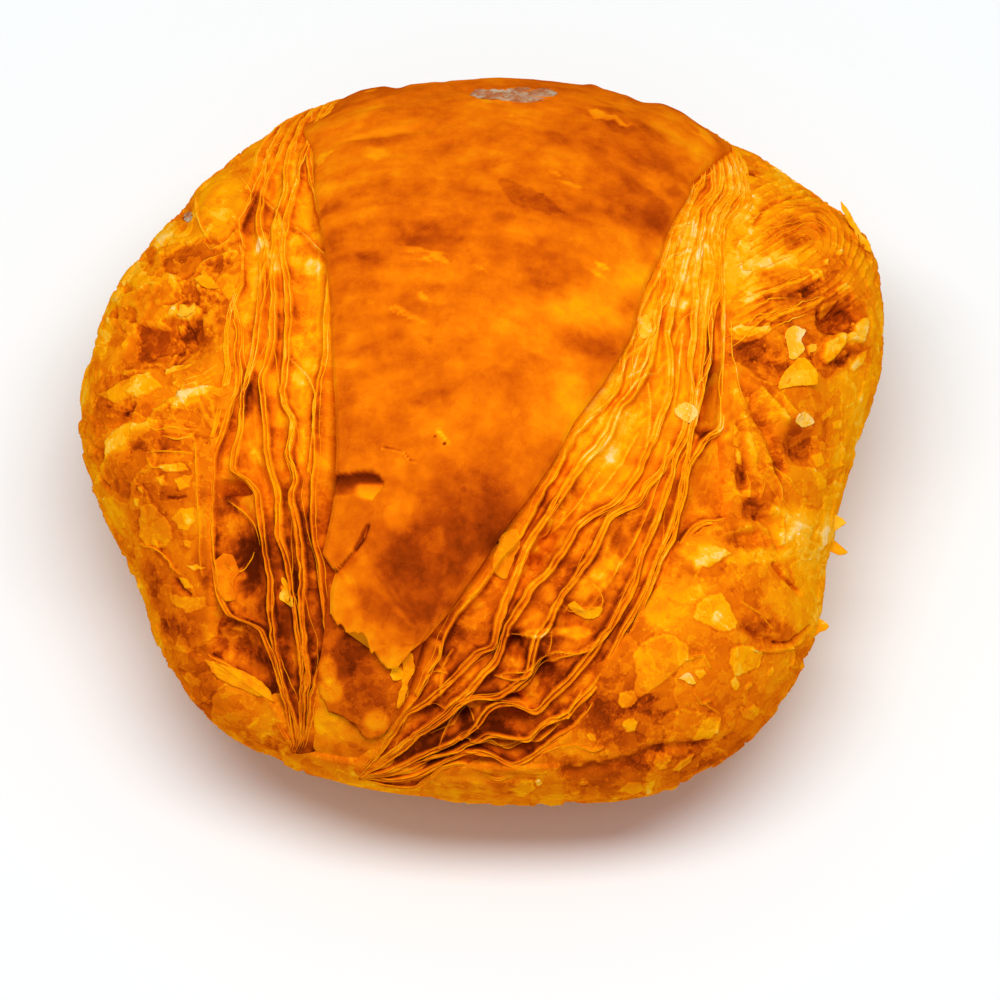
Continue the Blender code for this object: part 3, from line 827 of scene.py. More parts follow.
# Distances of the rows from the hub in mm: fine where the photograph shows the fan, coarse behind
LEFT_ROWS = np.concatenate([np.arange(0.8, 92.0, 0.27), np.arange(92.0, 158.0, 0.8)])
RIGHT_ROWS = np.concatenate([np.arange(0.8, 104.0, 0.30), np.arange(104.0, 166.0, 0.8)])
left_fan = make_fan("left_fan_of_leaves", LEFT_HUB_PX, LEFT_LEAVES_PX, 1, LEFT_LEAN, LEFT_ROWS, 0.07, 3)
right_fan = make_fan(
    "right_fan_of_leaves", RIGHT_HUB_PX, RIGHT_LEAVES_PX, -1, RIGHT_LEAN, RIGHT_ROWS, -0.06, 4
)

# %% [markdown]
# ## The top crust and the turns below it
# The outer turn is one smooth sheet, widest at the back and torn to a ragged tip at the front. It swells a
# little in the middle, where the roll is fattest. Two lower turns show below its tip. All three are sheets
# between a left and a right edge, with a torn line as their lower end.

# %% Sheets with a torn end
# The left edge, the right edge and the torn end of each sheet
TOP_TURN_PX = photo_lines("""
    292,114 313,150 316,195 320,220 327,254 331,300 333,350 337,400 339,449 338,470 337,495 331,527
    326,553 338,571 333,589 333,612;
    734,148 714,163 697,178 690,185 688,198 675,217 664,241 658,261 645,287 636,313 632,332 621,354
    601,387 588,404 573,424 558,454 541,479 527,500 511,520 502,534 472,578 449,612 428,637 413,648;
    333,612 337,615 348,622 352,629 357,632 367,637 371,643 378,652 383,657 391,661 399,665 406,656
    413,648
""")
SECOND_TURN_PX = photo_lines("""
    331,580 327,626 323,655 318,682; 440,600 422,645 414,675 406,698 397,716;
    318,682 321,694 327,703 330,713 345,716 352,722 357,724 361,732 367,739 381,737 388,729 397,716
""")
THIRD_TURN_PX = photo_lines("""
    322,650 316,690 310,720 304,742; 415,665 404,700 390,730 374,756;
    304,742 309,752 320,760 333,768 346,774 360,770 374,756
""")


def edge_line(line_px, behind, lean):
    """A side edge as chart places, carried on over the top."""
    line = chart_of(from_photo(line_px))
    carried = [line[0] + np.array([lean, 1.0]) * step for step in behind]
    return np.concatenate([carried[::-1], line]) if carried else line


def run_length(path):
    """How far each point of a path is from its start."""
    return np.append(0.0, np.cumsum(np.hypot(*np.diff(path, axis=0).T)))


def path_at(path, shares):
    """Points at shares of a path's length, and how far they are from its start."""
    steps = run_length(path)
    at = shares * steps[-1]
    return np.stack([np.interp(at, steps, path[:, axis]) for axis in (0, 1)], axis=-1), at


# Rows of a sheet that lie past the top of the picture
ROWS_BEHIND = 40


def torn_sheet(left_px, right_px, tear_px, behind, leans, rows, columns, raggedness, seed):
    """Chart places of a sheet: rows from its torn end to its top, columns from its left to its right edge."""
    left = edge_line(left_px, behind, leans[0])
    right = edge_line(right_px, behind, leans[1])
    seen_share = 1.0 - (behind[-1] if behind else 0.0) / (max(left[0, 1], right[0, 1]) - left[-1, 1])
    share = np.linspace(0.0, seen_share, rows)
    if behind:
        share = np.append(share, np.linspace(seen_share, 1.0, ROWS_BEHIND + 1)[1:])
    share = share[:, None]
    across = np.linspace(0.0, 1.0, columns)[None, :]
    sides = []
    for line in (left, right):
        heights = line[-1, 1] + (line[0, 1] - line[-1, 1]) * share[:, 0]
        sides.append(np.stack([np.interp(heights, line[::-1, 1], line[::-1, 0]), heights], axis=-1))
    sheet = sides[0][:, None] * (1.0 - across)[..., None] + sides[1][:, None] * across[..., None]
    end, at = path_at(chart_of(from_photo(tear_px)), across[0])
    tattered = raggedness * layered_noise(on_line(at), 1.5, seed, 3)
    end[:, 1] += tattered * smooth_step(0.0, 0.06, across[0]) * smooth_step(1.0, 0.94, across[0])
    reach = np.clip(1.0 - share / 0.22, 0.0, 1.0) ** 2
    return sheet + (end - sheet[0])[None] * reach[..., None], share, across


# %% Marks on the top crust
# Centre, radii, angle in degrees, and how much darker (above 0) or paler. The large dark mark over the
# lower tip is partly painted shade, the long thin pale mark along the top edge partly painted sheen.
CRUST_MARKS = photo_rows("""
    445,568 92,62 40 .44; 500,500 60,26 55 .06; 385,640 30,11 -38 -.07; 350,592 16,20 0 -.1;
    365,568 24,8 35 -.08; 345,545 18,22 0 .12; 400,500 50,30 0 .05; 470,490 34,20 0 .1;
    420,480 40,14 20 .05; 495,440 14,18 0 .06; 550,455 20,14 50 .1; 345,430 10,60 0 .08;
    365,440 24,20 0 .05; 430,405 20,8 15 .08; 410,370 18,12 0 .07; 500,390 22,14 0 .07;
    590,385 14,34 -40 .08; 600,350 26,12 20 .07; 530,330 20,12 0 .08; 545,292 26,11 0 .1;
    565,268 34,12 -28 .09; 630,305 12,12 0 .1; 340,300 10,20 0 .07; 410,316 16,11 0 .1; 368,352 4,4 0 .12;
    430,346 4,4 0 .16; 335,317 3,3 0 .16; 405,340 4,10 0 .06; 418,409 6,3 0 .12; 435,127 30,10 8 .12;
    385,152 38,5 6 .1; 360,164 16,6 0 .08; 472,172 32,8 -22 .12; 430,146 8,10 0 .09; 435,250 36,17 0 .12;
    330,217 11,5 0 .2; 319,230 3,4 0 .24; 335,245 5,10 0 .12; 368,267 16,5 -6 .18; 500,233 12,6 0 .12;
    505,200 20,12 -20 .06; 631,199 20,6 -35 .12; 670,203 7,9 0 .22; 657,226 16,12 -30 .18;
    612,220 20,12 -20 .11; 640,180 66,34 -28 .13; 625,205 44,20 -30 .08; 645,142 20,5 -20 .14;
    602,124 15,3 -10 .22; 608,139 24,4 -20 .16; 585,160 40,14 -20 .08; 440,200 80,14 4 .04;
    380,200 30,10 0 .06; 370,178 40,6 0 .05; 400,235 60,6 0 .06; 560,205 60,10 -18 .05;
    640,240 18,10 -40 .1; 375,145 27,4 5 -.12; 379,166 13,6 0 -.18; 310,126 26,8 0 -.1;
    350,125 52,5 9 -.13; 325,191 16,6 0 -.17; 326,201 6,9 0 -.12; 442,212 28,12 0 -.12;
    482,226 22,8 0 -.09; 372,221 17,4 0 -.14; 362,231 4,3 0 -.16; 501,186 11,7 0 -.16;
    530,109 42,6 3 -.14; 662,146 18,7 -30 -.18; 691,162 11,5 -40 -.16; 632,275 16,11 0 -.14;
    625,250 16,12 0 -.07; 596,310 42,16 25 -.16; 575,320 30,18 0 -.08; 556,405 22,34 -30 -.14;
    346,366 18,8 0 -.15; 372,340 22,10 0 -.08; 432,303 16,8 0 -.1; 490,345 24,16 -20 -.1;
    442,445 24,12 -38 -.16; 442,446 9,4 -40 -.22; 395,385 26,8 0 -.05; 450,425 30,10 0 -.04;
    455,87 54,5 0 -.2; 620,112 30,6 -20 -.06; 700,135 20,8 -35 -.06; 517,417 4,4 0 -.14;
    398,458 14,8 -20 -.08
""")
# Crisp patches: corners, and how much darker or paler they are
CRUST_PATCHES = photo_rows("""
    498,196 512,198 530,206 562,228 548,229 525,224 508,222 500,212 .11;
    585,127 592,125 600,130 612,132 626,141 610,137 602,137 592,138 588,133 -.24;
    436,441 441,443 446,446 450,450 445,449 439,446 -.2; 320,160 330,158 338,160 330,166 322,168 -.18;
    405,240 430,236 452,244 462,252 450,258 425,258 408,256 .04
""")
# Where the crust was rubbed, and where a painted sheen of the glaze lies along its top: centre, radii, and
# angle of the strokes
CRUST_SCUFFS_AND_SHEEN = photo_rows("""
    430,265 30,8 -14; 598,277 9,10 -20; 400,318 30,5 -24; 426,303 7,5 -30; 698,143 20,5 -38;
    480,282 9,4 -30; 442,91 12,3 4; 366,95 18,5 14; 320,107 24,5 16; 486,112 8,6 -40; 400,107 30,3 4;
    565,195 20,6 -20
""")
# Swellings of the crust: centre, radii, angle, and height in mm
CRUST_SWELLINGS = photo_rows("""
    455,86 70,12 2 .5; 395,93 12,6 20 -.6; 670,113 22,12 -25 .5; 640,110 14,10 -20 -.5; 590,95 9,5 0 .4;
    318,104 34,16 20 -1.3; 475,105 30,5 -28 -.6; 420,100 40,5 12 .4; 350,130 60,7 10 .4;
    400,143 50,4 6 -.3; 640,130 60,8 -28 -.4; 700,140 30,8 -38 .5
""")
# A crack, the window where a flake of the crust broke away, and a narrow slit
CRUST_CRACK_PX = ((384, 452), (390, 452), (400, 454), (407, 457), (412, 463), (418, 466))
WINDOW_PX = photo_lines("""
    334,475 352,476 360,474 374,474 382,478 386,484 387,488 383,493 378,498 376,502 366,500 357,496
    348,497 334,496
""")[0]
SLIT_PX = ((359, 549), (366, 539), (371, 527))
# The window's floor slopes down from a row of the picture, over some rows, and is painted darker there as
# painted shade. Further on it catches the light, and is painted paler there as a painted highlight.
WINDOW_SLOPE_PX = (477.0, 22.0)
WINDOW_LIT_ROWS_PX = (483.0, 488.0)
WINDOW_LIT_COLUMNS_PX = (354.0, 364.0)
# Two pits of burst bubbles: centre and radii. They are painted dark inside, as painted shade.
PITS = (((437, 441.5), (2.2, 0.9)), ((446, 448), (1.6, 0.8)))
# A flap of crust that has lifted: its oval, and its edge
FLAP_PX = ((346, 546), (30, 34))
FLAP_EDGE_PX = (
    (322, 552), (331, 564), (338, 571), (345, 565), (352, 557), (361, 547), (369, 537), (372, 525),
)
# The crust's wrinkles run in arcs round this place
ARC_MIDDLE_PX = (430, 640)
ARC_RADIUS = 70.0
# How high the crust stands over the leaves at its edges, and how much more in its middle, in mm
CRUST_EDGE_RISE = 0.65
CRUST_BULGE = 3.2
# About how long it is from its torn end to its upper end, in mm
CRUST_LENGTH = 110.0
# Rows and columns of its grid
CRUST_SIZE = (300, 285)
print(len(CRUST_MARKS), "marks on the crust")


# %% The top crust
def torn_window(seen, height, browning_and_shade):
    """The window near the left edge, where a flake of the crust broke away."""
    x, y = to_photo(seen)
    field = patch_field(seen + 0.08 * layered_noise(seen, 1.6, 501, 2)[..., None], WINDOW_PX)
    inside = smooth_step(-0.22, 0.22, field)
    slope_start, slope_rows = WINDOW_SLOPE_PX
    slope = np.clip(1.0 - (y - slope_start) / slope_rows, 0.0, 1.0)
    painted_highlight = smooth_step(*WINDOW_LIT_ROWS_PX, y) * smooth_step(*WINDOW_LIT_COLUMNS_PX, x)
    height = height - inside * (0.35 + 0.75 * slope)
    # Painted shade down the slope of the floor, a painted highlight where it catches the light
    browning_and_shade = browning_and_shade + inside * (0.32 * slope + 0.08 - 0.36 * painted_highlight) - 0.06 * np.exp(-((field / 0.2) ** 2))
    return height, browning_and_shade


def make_top_crust():
    leans = (LEFT_LEAN, RIGHT_LEAN)
    chart, share, across = torn_sheet(*TOP_TURN_PX, OVER_THE_TOP_MM, leans, *CRUST_SIZE, 2.0, 21)
    seen, points, outward, facing = on_bun(chart)
    half = 0.5 * np.hypot(*(chart[:, -1] - chart[:, 0]).T)[:, None]
    middle = 1.0 - (2.0 * across - 1.0) ** 2
    edge = np.minimum(across, 1.0 - across) * 2.0 * half
    sharp = 0.3 + 0.7 * smooth_step(0.0, 0.45, facing)
    bulge = CRUST_BULGE * middle**0.7 * np.minimum(half / 25.0, 1.0)
    edge_rise = CRUST_EDGE_RISE * (0.1 + 0.9 * smooth_step(54.0, 34.0, seen[..., 1]))
    height = sharp * (edge_rise + bulge) - 0.35 * smooth_step(0.5, 0.0, edge)
    height += 0.9 * layered_noise(points, 16.0, 31, 1) + 0.22 * layered_noise(points, 6.0, 32, 2)
    for shape_px, turned, rise in CRUST_SWELLINGS:
        height += rise * smooth_step(1.5, 0.3, oval(seen, shape_px, turned))
    from_below = seen - from_photo(ARC_MIDDLE_PX)
    distance = np.hypot(from_below[..., 0], from_below[..., 1])
    arc = ARC_RADIUS * np.arctan2(from_below[..., 0], from_below[..., 1])
    bent = np.stack([arc, distance], axis=-1) + 2.0 * layered_noise(chart, 14.0, 42, 2)[..., None]
    wrinkles = layered_noise(bent * np.array([0.14, 1.0]), 1.3, 33, 3)
    height += 0.12 * wrinkles * smooth_step(0.0, 30.0, seen[..., 1])
    height += 0.05 * layered_noise(points, 1.3, 34, 3)
    streaks = layered_noise(bent * np.array([0.25, 1.0]), 4.0, 35, 4) * smooth_step(-5.0, 25.0, seen[..., 1])
    streaks += 0.6 * wrinkles * smooth_step(-10.0, 30.0, seen[..., 1])
    browning_and_shade = 0.58 + 0.04 * layered_noise(points, 14.0, 36, 3) + 0.06 * layered_noise(points, 4.0, 37, 4)
    shaped = seen + 1.6 * noise_pair(seen, 4.0, 43, 4)
    browning_and_shade += 0.12 * streaks + 0.58 * marks_at(shaped, CRUST_MARKS, 0.45)
    clouds = layered_noise(bent * np.array([0.4, 1.0]), 7.0, 48, 4)
    browning_and_shade -= 0.11 * smooth_step(0.0, 0.5, clouds) * smooth_step(36.0, 20.0, seen[..., 1])
    for corners, darker in CRUST_PATCHES:
        browning_and_shade += darker * smooth_step(-0.1, 0.15, patch_field(shaped, corners))
    # Pale strokes: rubbed places, and a painted sheen of the glaze along the top
    scuffs_and_sheen = scuff_and_sheen_strokes(seen, CRUST_SCUFFS_AND_SHEEN, 45)
    browning_and_shade -= 0.20 * scuffs_and_sheen
    height += 0.04 * scuffs_and_sheen
    from_tear = share * CRUST_LENGTH + 0.8 * layered_noise(points, 2.5, 38, 3)
    tattered = smooth_step(-0.3, 0.3, layered_noise(points, 1.8, 40, 3))
    browning_and_shade -= (0.08 + 0.10 * tattered) * smooth_step(5.5, 0.5, from_tear)
    browning_and_shade -= 0.10 * smooth_step(0.7, 0.2, edge) * smooth_step(-0.2, 0.5, layered_noise(points, 5.0, 49, 2))
    flap, side = line_field(seen + 0.2 * layered_noise(seen, 1.5, 41, 2)[..., None], FLAP_EDGE_PX)
    flap_here = smooth_step(1.25, 0.7, oval(seen, FLAP_PX))
    raised = np.where(side > 0, 0.6 * np.exp(-flap / 3.0), -0.3 * np.exp(-flap / 0.8))
    height += raised * flap_here
    # Painted shade below the lifted flap's edge, and a painted highlight along its top
    browning_and_shade += flap_here * np.where(side > 0, -0.10 * np.exp(-flap / 0.25), 0.22 * np.exp(-flap / 0.4))
    height, browning_and_shade = torn_window(seen, height, browning_and_shade)
    uneven = seen + 0.15 * noise_pair(seen, 1.0, 46, 2)
    slit = line_form(uneven, SLIT_PX, 0.30)
    crack, side = line_field(uneven, CRUST_CRACK_PX)
    height += -0.8 * slit + np.where(side > 0, -0.12, 0.20) * np.exp(-crack / 0.5)
    # Painted shade in the slit and on the low side of the crack, a painted highlight on its raised side
    browning_and_shade += 0.26 * slit + np.where(side > 0, 0.20, -0.16) * np.exp(-((crack / 0.2) ** 2))
    for shape_px in PITS:
        pit = smooth_step(1.5, 0.6, oval(seen, shape_px, -25))
        height = height - 0.3 * pit
        # Painted shade inside the pit
        browning_and_shade = browning_and_shade + 0.6 * pit
    return laid_piece("top_crust", (points, outward), height, CRUST_DEPTH, browning_and_shade, egg_washed_crust)


top_crust = make_top_crust()


# %% The two turns below the tip
def make_lower_turn(name, lines_px, level, tone, marks, size, seed):
    """A turn of dough that shows below the torn tip of the one above it."""
    chart, share, _ = torn_sheet(*lines_px, (), (0.0, 0.0), *size, 0.7, seed)
    seen, points, outward, _ = on_bun(chart)
    height = level + 0.45 * layered_noise(points, 5.0, seed + 1, 3)
    height += 0.10 * layered_noise(points, 1.4, seed + 2, 3)
    height = height - 0.3 * smooth_step(0.06, 0.0, share)
    browning_and_shade = tone + 0.12 * layered_noise(points, 3.6, seed + 3, 2) + marks_at(seen, marks, 0.3)
    browning_and_shade = browning_and_shade - 0.10 * smooth_step(0.10, 0.0, share)
    return laid_piece(name, (points, outward), height, TURN_DEPTH, browning_and_shade, laminated_leaf, lowest=0.0)


# Centre, radii, angle, and how much darker or paler
SECOND_MARKS = photo_rows("""
    330,668 9,14 0 -.25; 333,688 12,12 0 -.26; 378,718 12,10 0 -.22; 352,650 18,26 -30 .12;
    402,672 6,9 30 -.25; 395,700 9,20 20 -.06
""")
THIRD_MARKS = photo_rows("""
    330,722 20,14 0 -.14; 350,752 24,8 -15 .12; 372,742 12,6 20 .1
""")
second_turn = make_lower_turn("second_turn", SECOND_TURN_PX, -0.1, 0.73, SECOND_MARKS, (110, 90), 61)
third_turn = make_lower_turn("third_turn", THIRD_TURN_PX, -1.0, 0.50, THIRD_MARKS, (90, 80), 71)

# %% [markdown]
# ## The body and its two puffed ends
# Under the crust and the leaves lies the body of the roll. A coarse closed ball of dough carries everything
# and shows at the back and below. Its two ends, which the photograph shows well, get a finer skin each, on
# a grid of rays from the middle of the chart. All three share one relief: swellings, folds, a hollow,
# blisters and flakes.

# %% Where the body shows between the fans
LEFT_BORDER = chart_of(from_photo(LEFT_LEAVES_PX[-1]))
RIGHT_BORDER = chart_of(from_photo(RIGHT_LEAVES_PX[-1]))
# How far the outermost edges go across for each mm upwards behind: left and right
BORDER_LEANS = (-0.06, 0.26)
# How deep the body lies under the leaves, in mm
SUNK = 8.0


def border_at(border, lean, height):
    """How far across a fan's outer border lies at a height on the chart, also over the top."""
    line = np.concatenate([[border[0] + np.array([lean, 1.0]) * OVER_THE_TOP_MM[-1]], border])
    order = np.argsort(line[:, 1])
    return np.interp(height, line[order, 1], line[order, 0])


def inside_leaves(chart):
    """How far a chart place lies inside the outer borders of the fans, in mm (below 0 is outside)."""
    from_left = chart[..., 0] - border_at(LEFT_BORDER, BORDER_LEANS[0], chart[..., 1])
    from_right = border_at(RIGHT_BORDER, BORDER_LEANS[1], chart[..., 1]) - chart[..., 0]
    return np.minimum(from_left, from_right)


def sunk_below_leaves(chart):
    """How deep the body lies under the fans and the top crust."""
    above_hubs = smooth_step(LEFT_BORDER[-1, 1] - 2.0, LEFT_BORDER[-1, 1] + 4.0, chart[..., 1])
    return SUNK * smooth_step(0.3, 3.5, inside_leaves(chart)) * above_hubs


def cell_spots(places, size, seed):
    """Distance from the nearest of points scattered in cells of this size, and a number for that point."""
    scaled = places / size
    home = np.floor(scaled)
    best = np.full(scaled.shape[:-1], 9.0)
    number = np.zeros_like(best)
    for step_x in (-1, 0, 1):
        for step_y in (-1, 0, 1):
            cell = home + np.array([step_x, step_y])
            shift_x = grid_noise(cell * 3.7 + 0.5, 1.0, seed)
            shift_y = grid_noise(cell * 3.7 + 0.5, 1.0, seed + 1)
            point = cell + 0.5 + 0.42 * np.stack([shift_x, shift_y], axis=-1)
            away = np.hypot(*np.moveaxis(scaled - point, -1, 0))
            closer = away < best
            best = np.where(closer, away, best)
            number = np.where(closer, 0.5 + 0.5 * grid_noise(cell * 5.1 + 0.3, 1.0, seed + 2), number)
    return best * size, number


# %% Swellings and folds of the ends
# Centre, radii, angle in degrees, and height in mm (below 0 is a hollow)
SWELLINGS = photo_rows("""
    222,205 34,32 20 1.9; 176,342 44,28 8 -2.4; 160,480 60,50 -25 1; 225,715 50,30 -35 .8;
    104,336 7,17 -35 -1.8; 836,318 19,17 0 -2.6; 755,357 24,12 0 -1.2; 690,660 95,75 30 1;
    797,655 8,7 0 -1.6; 805,535 38,26 0 1; 800,445 20,22 0 -1; 742,475 8,16 0 -1.6; 747,538 20,10 0 -1.2
""")
# Line, height in mm (below 0 is a crease or a crack), width in mm, and how much darker it is: painted shade
# in the creases and cracks, a painted highlight on the ridges
FOLDS = photo_rows("""
    736,368 748,385 765,402 782,420 1 .8 -.16; 738,364 760,384 780,400 795,418 .6 .5 -.12;
    742,378 752,410 770,440 778,470 -1.3 .8 .16; 731,365 736,400 745,430 752,460 .8 .7 -.12;
    741,430 745,460 745,480 -.8 .5 .16; 745,505 768,525 775,548 -1 .7 .14;
    760,500 785,520 800,530 .8 .8 -.14; 770,563 780,577 795,592 -1 .35 .22;
    771,641 788,637 806,626 -1 .28 .22; 735,625 752,634 770,640 -.7 .6 .14;
    565,767 600,763 631,757 660,745 700,740 -.7 .9 .12; 246,185 252,200 246,222 240,238 -1 .6 .2;
    236,222 230,235 218,243 208,240 -1 .35 .2; 115,308 115,318 112,328 104,338 98,348 92,358 -1.6 .35 .32;
    163,305 172,303 177,301 -.6 .16 .3; 176,280 186,276 192,273 -.6 .16 .3;
    205,286 215,289 222,293 -.6 .16 .25; 236,285 236,300 -.5 .16 .25; 124,413 130,408 134,403 -.7 .18 .3;
    90,440 96,448 106,453 -.7 .4 .16; 105,470 108,480 113,487 -.8 .3 .2;
    176,580 184,588 191,594 -.9 .28 .26; 173,498 180,499 188,496 -.5 .22 .24;
    128,560 150,590 165,625 -.5 .9 .08; 745,168 757,172 -.5 .2 .2;
    757,222 763,208 776,201 794,197 -.7 .24 .22
""")
# Thin leaf edges that stand up: bright lines
EDGES_PX = photo_lines("""
    155,428 163,432 175,429 186,430 198,431; 168,438 180,441 195,437; 159,454 175,453 195,453;
    155,460 160,468 172,470; 142,545 160,550 172,562 180,573; 204,243 213,249 219,246 228,240 236,228;
    199,200 202,225 208,240; 198,272 202,264 220,255 235,250; 118,301 130,295 145,288 160,284;
    182,387 200,380 215,372; 186,380 203,374 217,365; 176,391 196,387 212,380;
    199,480 200,510 201,545 203,575; 198,440 199,460 199,480; 690,690 697,700 706,698;
    735,600 750,610 765,625; 745,645 760,648 775,647 800,637; 783,642 788,652 786,663 800,667 807,656;
    560,745 575,742 590,746 600,744; 775,465 790,485 810,505; 768,468 776,482 780,500;
    747,470 749,485 747,497; 757,475 762,485 758,497; 778,515 779,530 777,545; 700,700 716,712 712,728;
    680,655 698,652 704,664
""")
# The edge of the torn outer leaf of the left end
TORN_LEDGE_PX = photo_lines("""
    104,472 112,458 113,443 122,432 133,425 150,424 158,410 170,400 186,395 204,388 218,387
""")[0]

# %% Flakes: pieces of the outermost leaf that puffed up or broke loose
# Corners, height in mm, and how much darker (below 0 paler) they are
FLAKES = photo_rows("""
    817,307 817,328 825,337 836,333 843,336 850,335 856,324 851,310 848,297 838,303 830,313 822,312 -.6
    .18;
    848,290 858,288 866,300 864,318 856,323 850,312 .5 .02;
    762,297 780,294 800,290 815,284 800,297 775,303 764,303 -.3 .13;
    798,287 815,279 832,270 838,275 820,290 806,298 796,296 -.3 .15;
    775,319 790,313 804,305 803,311 790,318 778,323 -.3 .15;
    730,343 748,339 762,341 768,350 756,360 740,362 731,356 -.3 .1;
    768,366 784,362 786,370 775,376 -.2 .12;
    806,357 818,352 822,363 834,361 850,352 842,368 826,378 814,374 -.5 .16;
    733,300 760,292 790,283 815,272 800,283 770,294 745,303 .4 -.16;
    752,320 775,316 800,305 826,296 812,307 790,319 768,324 .4 -.16;
    730,330 736,326 748,327 757,329 764,328 768,323 762,334 750,338 738,337 .9 -.14;
    178,315 182,305 190,308 196,304 195,313 186,318 .6 -.26;
    195,279 203,276 218,284 220,290 211,289 203,285 199,289 .6 -.2;
    163,368 175,361 190,360 186,367 172,371 164,374 .5 -.22;
    183,395 200,384 215,386 213,394 198,400 186,400 .5 -.08;
    98,395 112,390 125,380 150,372 162,384 145,395 128,400 110,402 .7 -.16;
    86,406 100,402 126,405 131,414 112,428 95,426 .6 .02;
    147,505 158,503 168,515 176,538 165,548 148,545 140,535 142,520 .5 -.13;
    175,518 185,508 195,508 197,520 190,530 180,530 .4 -.15; 164,468 190,464 192,471 172,474 .25 -.25;
    179,479 187,475 194,477 193,487 183,490 .3 -.17; 163,478 172,476 170,487 .25 -.17;
    145,486 151,487 150,494 145,491 .3 -.22; 139,500 146,500 144,509 139,506 .3 -.22;
    185,540 194,540 192,548 186,547 .3 -.17; 187,565 198,564 206,567 196,570 .2 -.32;
    175,576 188,580 193,587 183,585 .25 -.2; 170,590 190,597 205,596 207,606 190,612 175,604 .35 -.13;
    120,470 128,455 150,447 158,470 140,500 124,492 .2 .03; 806,346 812,344 814,351 808,354 .6 -.28;
    728,329 740,325 752,330 765,324 768,333 757,340 745,343 730,341 .8 -.18;
    820,358 823,345 832,340 836,336 839,324 842,332 846,336 852,330 857,321 862,320 863,335 858,345
    845,344 836,350 830,361 823,365 2.4 -.3;
    834,255 837,250 842,250 841,256 .5 -.22; 821,262 826,260 827,267 822,266 .5 -.26;
    807,270 816,268 826,276 825,280 813,279 .6 -.18; 834,290 843,283 851,289 841,294 .6 -.2;
    795,294 800,291 802,298 797,299 .4 -.18; 822,303 838,300 833,309 825,313 .8 -.08;
    735,447 739,449 743,464 737,464 .5 -.22; 726,439 730,425 733,417 735,432 730,442 .4 -.24;
    813,455 822,451 826,462 818,468 .35 -.14; 833,420 842,418 843,426 836,428 .35 -.14;
    820,416 827,408 834,404 831,415 823,421 .35 -.14; 848,370 856,355 863,351 861,362 853,372 .6 -.17;
    688,556 700,545 713,547 722,547 729,553 716,560 706,567 692,564 .9 -.18;
    688,614 692,602 705,594 716,592 724,603 729,618 727,625 712,629 698,622 .45 -.17;
    640,640 660,632 672,634 684,643 682,655 668,672 650,685 637,696 629,690 635,672 631,652 .45 -.15;
    616,700 618,690 628,687 636,696 630,704 620,705 .4 -.26;
    722,658 724,645 735,640 745,642 755,648 754,664 740,668 728,671 .5 -.19;
    724,675 729,670 734,680 731,686 726,682 .4 -.24;
    619,722 622,716 631,714 636,720 634,729 625,731 .4 -.22; 690,667 698,665 701,671 696,676 .35 -.2;
    655,717 675,706 700,709 717,712 717,722 706,737 690,740 666,737 .35 -.1;
    689,735 698,716 715,712 712,728 703,737 .2 -.09; 651,758 660,749 669,752 664,764 656,765 .35 -.14;
    668,763 680,755 690,749 687,758 676,766 .35 -.17; 618,785 625,777 637,778 642,785 630,791 .35 -.12;
    586,733 590,729 596,731 594,737 588,737 .3 -.19; 640,788 644,778 653,774 648,786 .3 -.14;
    512,787 521,775 532,777 535,786 527,796 517,796 .6 -.2; 533,779 538,776 542,780 537,785 .3 -.28;
    733,700 742,706 748,700 756,705 748,716 738,712 .4 -.12; 540,700 548,706 544,712 .2 -.1
""")
print(len(FLAKES), "flakes")

